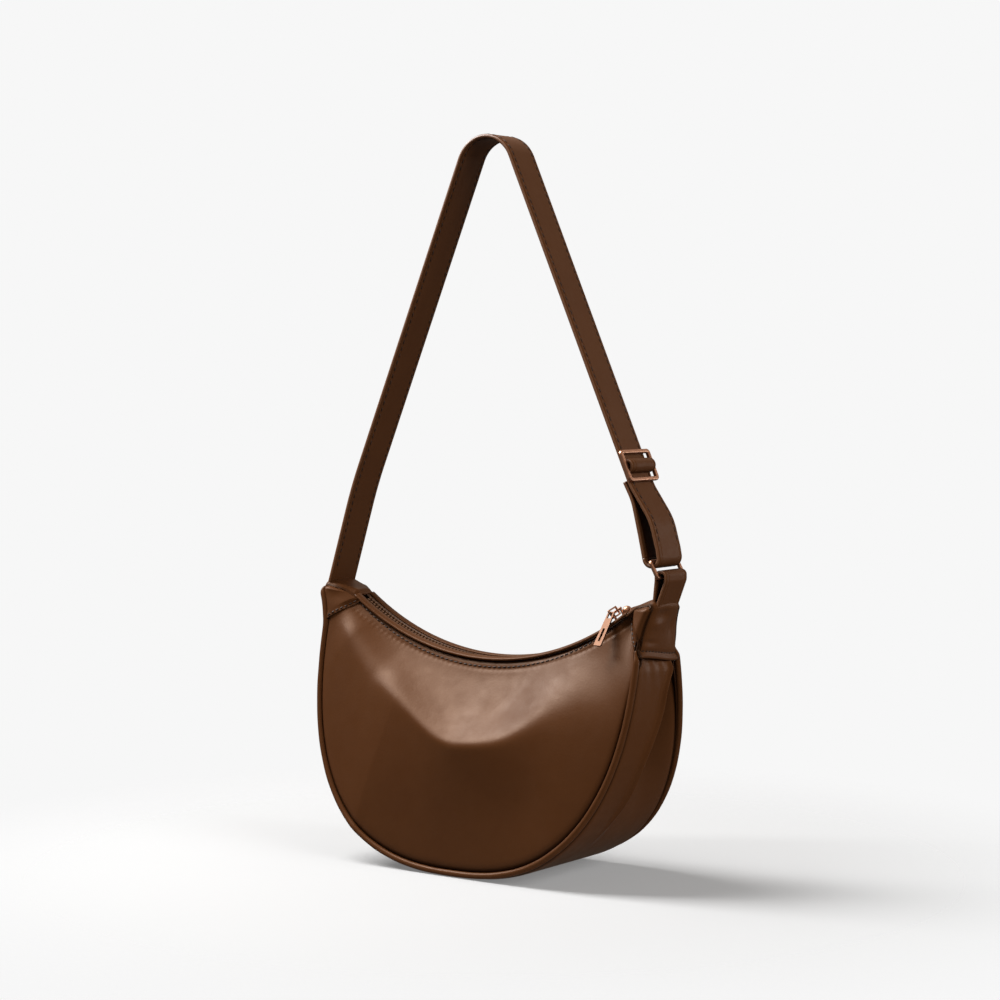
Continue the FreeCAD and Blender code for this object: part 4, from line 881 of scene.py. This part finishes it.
class BAG_OT_horns(bpy.types.Operator):
    """Overlaid patches at the two tips, with their stitching"""

    bl_idname = "bag.horns"
    bl_label = "Horn patches"

    def execute(self, context):
        shape = context.scene.bag_shape
        leather = finish_of(context, "brown_body_leather")
        thread = finish_of(context, "sewing_thread")
        for side, sign, early, reach, rise, droop in (
                ("right", 1.0, HEM_EARLY, 0.0022, 0.012, 0.0045),
                ("left", -1.0, 0.004, 0.0080, 0.0045, 0.0)):
            inside = (sign * 0.1, 0.0, 0.13)
            sewn = []
            for name, facing in FACES:
                panel = horn_part(shape, facing, sign)
                points, seam = front_patch_surface(shape, facing, early, reach, rise, panel)
                points = mirrored(points, sign)
                made = sheet_piece(f"{side}_horn_{name}_patch_leather", points, leather, PATCH_SHEET,
                                   inside, seam)
                stand_for(made, "bag", "body_leather", f"{side}_horn_{name}_patch")
                normal = grid_normals(points, DEEP * facing)
                line, row, wide = inside_edge(points, PATCH_STITCH_INSET)
                sewn.append(stitch_row(line[6:-2], normal[row, wide][6:-2], PATCH_PITCH))
            points, seam = gusset_patch_surface(shape, droop)
            points = mirrored(points, sign)
            made = sheet_piece(f"{side}_horn_gusset_patch_leather", points, leather, TIP_SHEET,
                               inside, seam)
            stand_for(made, "bag", "body_leather", f"{side}_horn_gusset_patch")
            normal = grid_normals(points, points - np.array(inside))
            sewn.append(stitch_row(points[HEM_STITCH_ROW, 4:-4], normal[HEM_STITCH_ROW, 4:-4],
                                   PATCH_PITCH))
            made = piece(f"{side}_horn_stitching", *joined(sewn), thread, inside)
            stand_for(made, "bag", "body_leather")
        return {"FINISHED"}


# Zip

def along_mouth(shape, profile, reach):
    """A profile of y and height above the zip's curve, carried along it to reach either way."""
    angle = np.linspace(-reach, reach, 221)
    x, z = mouth(shape, angle)
    path = np.stack([x, 0 * x, z], axis=1)
    out = np.stack([-np.sin(angle), 0 * angle, np.cos(angle)], axis=1)
    return sweep(path, np.broadcast_to(DEEP, path.shape), out, profile[None])


class BAG_OT_zip(bpy.types.Operator):
    """Rolled welts and woven tapes of the zip, teeth, stops, slider and pull"""

    bl_idname = "bag.zip"
    bl_label = "Zip"

    def execute(self, context):
        shape = context.scene.bag_shape
        leather = finish_of(context, "brown_body_leather")
        tape = finish_of(context, "zip_tape_weave")
        for name, sign, body in (("front", FRONT, "bag"), ("back", BACK, "back_mouth")):
            roll = rounded_bar(0.00285, 0.0011, 2.6) + (0.00705, 0.0009)
            roll[:, 1] -= 0.0005 * smooth(0.0075, 0.0098, roll[:, 0])
            roll = along_mouth(shape, roll * (sign, 1.0), zip_angle(shape, -0.0018))
            made = piece(f"{name}_zip_welt_leather", *roll, leather, inside=(0.0, sign * 0.0071, 0.135))
            stand_for(made, body, "body_leather", f"{name}_zip_welt")
            strip = rounded_bar(0.0034, 0.0004, 8.0) + (0.0056, 0.0)
            strip = along_mouth(shape, strip * (sign, 1.0), zip_angle(shape, -0.0005))
            made = piece(f"{name}_zip_tape_weave", *strip, tape, inside=(0.0, sign * 0.0056, 0.135))
            stand_for(made, body, "zip_fabric", f"{name}_zip_tape")
            dress(context, "zip_nylon", f"{name}_zip_teeth")
        dress(context, "rose_gold_plating",
              "left_zip_stop", "right_zip_stop", "zip_slider", "zip_pull_link")
        dress(context, "satin_plating", "zip_pull")
        return {"FINISHED"}


def dress(context, finish, *nodes):
    """Gives carried-over nodes a finish."""
    for name in nodes:
        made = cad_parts[name]
        if not made.material_slots:
            made.data.materials.append(None)
        for slot in made.material_slots:
            slot.material = finish_of(context, finish)


class BAG_OT_lining(bpy.types.Operator):
    """Cloth lining in a front and a back half"""

    bl_idname = "bag.lining"
    bl_label = "Lining"

    def execute(self, context):
        shape = context.scene.bag_shape
        cloth = finish_of(context, "lining_weave")
        for name, sign in FACES:
            made = sheet_piece(f"{name}_lining_cloth", lining_surface(shape, sign), cloth,
                               LINING_SHEET)
            if sign == FRONT:
                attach(made, "bag")
                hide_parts("lining")
            else:
                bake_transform(made)
        return {"FINISHED"}


def lining_surface(shape, sign):
    """Half of the lining: down inside the panel, v from 1 to 0, then across the base or side to the
    middle of the bag, w from 0 to 1, kept clear of the gusset."""
    u = np.linspace(-1, 1, 121)[:, None]
    side = np.where(u < 0, -1.0, 1.0)
    v = np.linspace(1, 0, 41)[None, :]
    seam_x, seam_z = outline(shape, np.abs(u) * PATCH_SHARE * 0.985)
    seam_x = side * seam_x
    rim_x, rim_z = mouth(shape, zip_angle(shape, 0.0005) * u, RIM_DROP)
    middle_x, middle_z = 0.35 * seam_x, 0.35 * seam_z + 0.65 * 0.09
    inward = unit(np.stack([middle_x - seam_x, middle_z - seam_z], axis=-1))
    # further in on the right, behind the pleat
    inset = 0.005 + 0.013 * smooth(0.01, 0.06, seam_z) * smooth(0, 0.2, u)
    foot_x, foot_z = seam_x + inset * inward[..., 0], seam_z + inset * inward[..., 1]
    x = foot_x + (rim_x - foot_x) * v
    z = foot_z + (rim_z - foot_z) * v
    bow = 0.005 - 0.013 * u * u
    # where the foot is further in, it keeps to the slope from the seam to the rim
    span = np.hypot(rim_x - seam_x, rim_z - seam_z)
    low = half_depth(shape, seam_z) - 0.004
    low = low + (0.0058 - low) * smooth(0, 1, inset / np.maximum(span, 0.02))
    out = low + (0.0058 - low) * v + bow * np.sin(np.pi * v) ** 0.9
    wall = np.stack([x, sign * out, z], axis=-1)
    w = np.linspace(0, 1, 21)[None, 1:]
    reach = 0.012 * np.sin(np.pi / 2 * w) * smooth(0.02, 0.1, seam_z)
    floor = np.stack([foot_x + inward[..., 0] * reach, sign * low * (1 - w),
                      foot_z + inward[..., 1] * reach], axis=-1)
    return np.concatenate([wall, floor], axis=1)


# Strap and metalwork: places counted from the horn's corner, wires of the ring and the buckle

LOOP_WIDTH = 0.0098
LOOP_ROUND = 0.0045
BOW_RADIUS = 0.034
LEG_END = np.array((-0.020, 0.0636))
LOOP = np.array((-0.0052, 0.0228))
CROWN_X = 0.0007
CROWN_RISE = 0.3004
ROOT = np.array((-0.0058, -0.0014))
BEND = np.array((-0.0245, 0.0584))
ROOT_SINK = 0.0035
TAB_WIDTH = 0.023
TAB_THICKNESS = 0.002
TAB_ROOT = np.array((-0.0038, -0.0045))
RING_WIRE = 0.0022
RING_HEIGHT = 0.0102
RING_LEAN = math.radians(29.0)
BUCKLE_WIRE = 0.0024
BUCKLE_UP = 0.0108


def strap_profile(width, thickness, groove=0.0029):
    """Flat strap: half thickness h (1 - a quarter near the edges) less a groove for the stitches.
    Returns the closed profile and which of its runs are the painted edges."""
    half = width / 2
    runs = ((-1, -0.93, 4), (-0.9, -0.62, 12), (-0.5, 0.5, 5), (0.62, 0.9, 12), (0.93, 1, 4))
    across = half * np.concatenate([np.linspace(*run) for run in runs])
    inset = half - np.abs(across)
    height = thickness / 2 * (1 - 0.42 * hill(inset, 0.0006)) - 0.00022 * hill(inset - groove, 0.0006)
    top = np.stack([across, height], axis=1)
    profile = np.vstack([top, top[::-1] * (1, -1)])
    far = len(across)
    painted = np.zeros(len(profile), bool)
    painted[[0, far - 2, far - 1, far, -2, -1]] = True
    return profile, painted


def strap_band(name, line, width, thickness, materials, inside=None):
    """A strap along an x, z line, with painted edges."""
    profile, painted = strap_profile(width, thickness)
    path = on_plane(line)
    inside = path.mean(axis=0) if inside is None else inside
    normal = on_plane(left_of(line))
    points, faces = sweep(path, np.broadcast_to(DEEP, path.shape), normal, profile[None])
    edge = np.concatenate([np.tile(painted, len(path) - 1), [False, False]])
    return piece(name, points, faces, materials, inside, edge=edge)


def strap_stitching(line, width, thickness, pitch, inset=0.0029, faces=(1, -1)):
    """Rows of stitches near both edges of a strap, on the faces asked for."""
    normal = on_plane(left_of(line))
    rows = []
    for face in faces:
        for y in (-(width / 2 - inset), width / 2 - inset):
            on_face = on_plane(line, y) + normal * face * (thickness / 2 - 0.00034)
            rows.append(stitch_row(on_face, normal * face, pitch, thickness=0.0005))
    return joined(rows)


def strap_corners(shape):
    """Corners of the strap's middle line: root, bend, crown, end of the leg and the loop."""
    corner = horn_corner(shape)
    root, bend = ((corner + place) * (-1, 1) for place in (ROOT, BEND))
    crown = np.array((CROWN_X, corner[1] + CROWN_RISE))
    leg_end = corner + LEG_END
    loop = corner + LOOP
    base = loop[1] - LOOP_ROUND
    under = np.array((loop[0] + LOOP_WIDTH / 2, base)), np.array((loop[0] - LOOP_WIDTH / 2, base))
    return root, bend, crown, leg_end, loop, under


def loop_point(shape, drop_share, width_share):
    """Point between the leg's end and the loop: shares of the drop and of the loop's width."""
    leg_end, loop, under = strap_corners(shape)[3:]
    drop = under[0][1] - leg_end[1]
    return np.array((leg_end[0] + (loop[0] - leg_end[0]) * drop_share + LOOP_WIDTH / 2 * width_share,
                     leg_end[1] + drop * drop_share))


def strap_line(shape):
    """Middle line of the strap from inside the left horn to the far side of the ring."""
    root, bend, crown, leg_end, loop, under = strap_corners(shape)
    root = root - unit(bend - root) * ROOT_SINK
    bows = [loop_point(shape, 0.42, 1.45), loop_point(shape, 0.78, 1.3)]
    last = under[1] + unit(loop_point(shape, 0.62, -0.62) - under[1]) * LOOP_ROUND
    return rounded_line([root, bend, crown, leg_end, *bows, *under, last],
                        [0.3, 0.020, BOW_RADIUS, BOW_RADIUS, BOW_RADIUS, LOOP_ROUND, LOOP_ROUND])


def leg_frame(shape):
    """Down along the straight right leg, and outwards from it."""
    crown, leg_end = strap_corners(shape)[2:4]
    down = unit(leg_end - crown)
    return down, np.array((-down[1], down[0]))


def tail_line(shape):
    """Middle line of the strap's end, from the ring back up to the underside of the leg."""
    leg_end, loop, under = strap_corners(shape)[3:]
    bows = [loop_point(shape, 0.62, -0.62), loop_point(shape, 0.18, -0.28)]
    down, outward = leg_frame(shape)
    begin = under[1] + unit(bows[0] - under[1]) * (LOOP_ROUND + 0.00005)
    end = leg_end - outward * (shape.strap_thickness + 0.0004) - down * BOW_RADIUS * 0.12
    return rounded_line([begin, *bows, end], [BOW_RADIUS, BOW_RADIUS])


def tab_line(shape):
    """Middle line of the tab: up from the right horn, round the ring's lower bar and down again."""
    corner = horn_corner(shape)
    loop = corner + LOOP
    upper = loop - (0, LOOP_ROUND - shape.strap_thickness / 2 - RING_WIRE / 2 - 0.0003)
    lower = upper + RING_HEIGHT * np.array((math.sin(RING_LEAN), -math.cos(RING_LEAN)))
    turn = 0.0032
    top = lower[1] + RING_WIRE / 2 + 0.0009 + TAB_THICKNESS / 2
    root_x, root_z = corner + TAB_ROOT
    corners = [(root_x + 0.00115, root_z), (lower[0] + turn, top - 1.6 * turn), (lower[0] + turn, top),
               (lower[0] - turn, top), (lower[0] - turn, top - 1.6 * turn), (root_x - 0.00115, root_z)]
    return rounded_line(corners, [1.6 * turn, 0.7 * turn, 0.7 * turn, 1.6 * turn], 0.0004)


def bridge_line(shape):
    """Middle line of the hump over the buckle's middle bar."""
    down, outward = leg_frame(shape)
    leg_end = strap_corners(shape)[3]
    lift = shape.strap_thickness / 2 + 0.00035 + BUCKLE_WIRE / 2
    middle = leg_end - down * BUCKLE_UP / -down[1] + outward * lift
    reach = BUCKLE_WIRE / 2 + 0.0004 + shape.strap_thickness / 2
    foot = -BUCKLE_WIRE / 2 - 0.000175
    corners = [(-reach, foot), (-reach, reach), (reach, reach), (reach, foot)]
    corners = [middle + down * a + outward * b for a, b in corners]
    return rounded_line(corners, [reach - 0.0001, reach - 0.0001], 0.0004)


class BAG_OT_strap(bpy.types.Operator):
    """Strap, its tail, the hump in the buckle and the tab, with stitching and painted edges"""

    bl_idname = "bag.strap"
    bl_label = "Strap"

    def execute(self, context):
        shape = context.scene.bag_shape
        materials = [finish_of(context, "brown_strap_leather"), finish_of(context, "edge_paint")]
        thread = finish_of(context, "sewing_thread")
        size = shape.strap_width, shape.strap_thickness
        line, tail = strap_line(shape), tail_line(shape)
        strap = strap_band("strap_leather", line, *size, materials, inside=(0.0, 0.0, 0.3))
        stitches = strap_stitching(line[18:-30], *size, shape.strap_pitch)
        sewn = piece("strap_stitching", *stitches, thread)
        end = strap_band("strap_tail_leather", tail, *size, materials)
        stitches = strap_stitching(tail, *size, shape.strap_pitch, faces=(1,))
        end_sewn = piece("strap_tail_stitching", *stitches, thread)
        tab = strap_band("ring_tab_leather", tab_line(shape), TAB_WIDTH, TAB_THICKNESS, materials)
        bridge = strap_band("strap_bridge_leather", bridge_line(shape), *size, materials)
        stand_for(bridge, "buckle", "strap_leather", "strap_bridge")
        for soft, node in ((strap, "strap"), (sewn, None), (tab, "ring_tab"), (end, "strap_tail"),
                           (end_sewn, None)):
            if node:
                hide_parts(node)
        for soft in (strap, sewn):
            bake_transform(soft)
        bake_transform(tab)
        for soft in (end, end_sewn):
            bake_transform(soft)
        return {"FINISHED"}


class BAG_OT_hardware(bpy.types.Operator):
    """Plated finish of the ring and the buckle"""

    bl_idname = "bag.hardware"
    bl_label = "Ring and buckle"

    def execute(self, context):
        dress(context, "rose_gold_plating", "strap_ring", "strap_buckle")
        return {"FINISHED"}


# Stage

CAMERA_PLACE = (0.8808, -1.2216, 0.3004)
CAMERA_TURN = (math.radians(90.0 - 2.984), 0.0, math.radians(35.674))
CAMERA_LENS = 89.96
FLOOR_REACH = 1.6
FLOOR_RINGS, FLOOR_SPOKES = 30, 96
# name, place, aim, width, height, power and whether gloss shows it
LIGHTS = (
    ("overhead_softbox", (-0.86, -0.32, 1.38), (0.0, 0.0, 0.1), 0.75, 1.2, 64.0, True),
    ("right_fill", (1.75, -0.3, 1.0), (0.0, 0.0, 0.2), 1.2, 1.0, 29.0, False),
    ("back_strip", (1.1, 1.5, 0.42), (0.0, 0.0, 0.12), 0.3, 0.9, 3.5, True),
    ("side_strip", (1.7, 0.5, 0.45), (0.0, 0.0, 0.1), 0.22, 0.8, 2.6, True),
)


class BAG_OT_stage(bpy.types.Operator):
    """Paper floor, backdrop, soft lights and the camera"""

    bl_idname = "bag.stage"
    bl_label = "Stage"

    def execute(self, context):
        scene = context.scene
        scene.view_settings.view_transform = "Standard"
        paper = finish_of(context, "studio_paper")
        angle = np.linspace(0, 2 * np.pi, FLOOR_SPOKES, endpoint=False)[None, :]
        reach = np.linspace(0.0005, FLOOR_REACH, FLOOR_RINGS)[:, None]
        disc = np.stack([reach * np.cos(angle), reach * np.sin(angle), -0.0001 + 0 * reach * angle],
                        axis=-1)
        faces = grid_faces(FLOOR_RINGS, FLOOR_SPOKES, wrap=True).tolist() + [list(range(FLOOR_SPOKES))]
        floor = piece("studio_floor", disc, faces, paper, inside=(0, 0, -1))
        # the paper throws its light back but is not mirrored, so the low gloss stays dark
        floor.visible_glossy = False
        for name, place, aim, width, height, power, glossy in LIGHTS:
            light = bpy.data.lights.new(name, "AREA")
            light.shape, light.size, light.size_y, light.energy = "RECTANGLE", width, height, power
            lamp = bpy.data.objects.new(name, light)
            scene.collection.objects.link(lamp)
            lamp.location = place
            lamp.visible_glossy = glossy
            away = np.array(aim) - np.array(place)
            lamp.rotation_euler = (math.atan2(math.hypot(away[0], away[1]), -away[2]), 0.0,
                                   math.atan2(-away[0], away[1]))
        backdrop(scene)
        view = bpy.data.cameras.new("photo_view")
        view.lens = CAMERA_LENS
        view.clip_end = 20.0
        camera = bpy.data.objects.new("photo_view", view)
        scene.collection.objects.link(camera)
        camera.location = CAMERA_PLACE
        camera.rotation_euler = CAMERA_TURN
        scene.camera = camera
        return {"FINISHED"}


def backdrop(scene):
    """White paper behind the bag, and for everything that it lights a room bright above and dim
    round about."""
    world = bpy.data.worlds.new("studio")
    scene.world = world
    world.use_nodes = True
    tree = world.node_tree
    tree.nodes.clear()
    aim = add(tree, "ShaderNodeTexCoord").outputs["Generated"]
    parts = add(tree, "ShaderNodeSeparateXYZ", (), {0: aim})
    level, shine = (
        add(tree, "ShaderNodeMapRange",
            {"interpolation_type": "SMOOTHSTEP", "From Min": start, "From Max": stop, "To Min": low,
             "To Max": high}, {"Value": parts.outputs["Z"]}).outputs["Result"]
        for start, stop, low, high in ((-0.1, 0.9, 0.05, 0.12), (-0.05, 0.6, 0.12, 0.6)))
    seen = add(tree, "ShaderNodeLightPath")
    gloss = add(tree, "ShaderNodeMix", (), {0: seen.outputs["Is Glossy Ray"], 2: level, 3: shine})
    room = add(tree, "ShaderNodeBackground", {"Color": (*linear("ffe6d2"), 1)},
               {"Strength": gloss.outputs[0]})
    paper = add(tree, "ShaderNodeBackground", {"Color": (*linear("f7f7f7"), 1), "Strength": 1.0})
    both = add(tree, "ShaderNodeMixShader", (),
               {0: seen.outputs["Is Camera Ray"], 1: room.outputs[0], 2: paper.outputs[0]})
    add(tree, "ShaderNodeOutputWorld", (), {"Surface": both.outputs[0]})


class BAG_PT_sidebar(bpy.types.Panel):
    """Sizes, colours and the pieces of the bag"""

    bl_idname = "BAG_PT_sidebar"
    bl_label = "Half Moon Bag"
    bl_space_type = "VIEW_3D"
    bl_region_type = "UI"
    bl_category = "Bag"

    def draw(self, context):
        layout = self.layout
        for group in (context.scene.bag_shape, context.scene.bag_finish):
            column = layout.column(align=True)
            for key in group.__annotations__:
                column.prop(group, key)
        for operator in OPERATORS:
            layout.operator(operator.bl_idname)


OPERATORS = (BAG_OT_stage, BAG_OT_panels, BAG_OT_gusset, BAG_OT_piping, BAG_OT_horns, BAG_OT_zip,
             BAG_OT_lining, BAG_OT_strap, BAG_OT_hardware)
CLASSES = (BagShape, BagFinish, *OPERATORS, BAG_PT_sidebar)


def register():
    """Registers the classes and hangs the two groups on the scene."""
    for made in CLASSES:
        bpy.utils.register_class(made)
    bpy.types.Scene.bag_shape = bpy.props.PointerProperty(type=BagShape)
    bpy.types.Scene.bag_finish = bpy.props.PointerProperty(type=BagFinish)


def unregister():
    """Takes the groups and the classes away again."""
    del bpy.types.Scene.bag_finish
    del bpy.types.Scene.bag_shape
    for made in reversed(CLASSES):
        bpy.utils.unregister_class(made)


def main():
    """Builds stage and bag."""
    register()
    for operator in OPERATORS:
        group, name = operator.bl_idname.split(".")
        getattr(getattr(bpy.ops, group), name)()


if __name__ == "__main__":
    main()
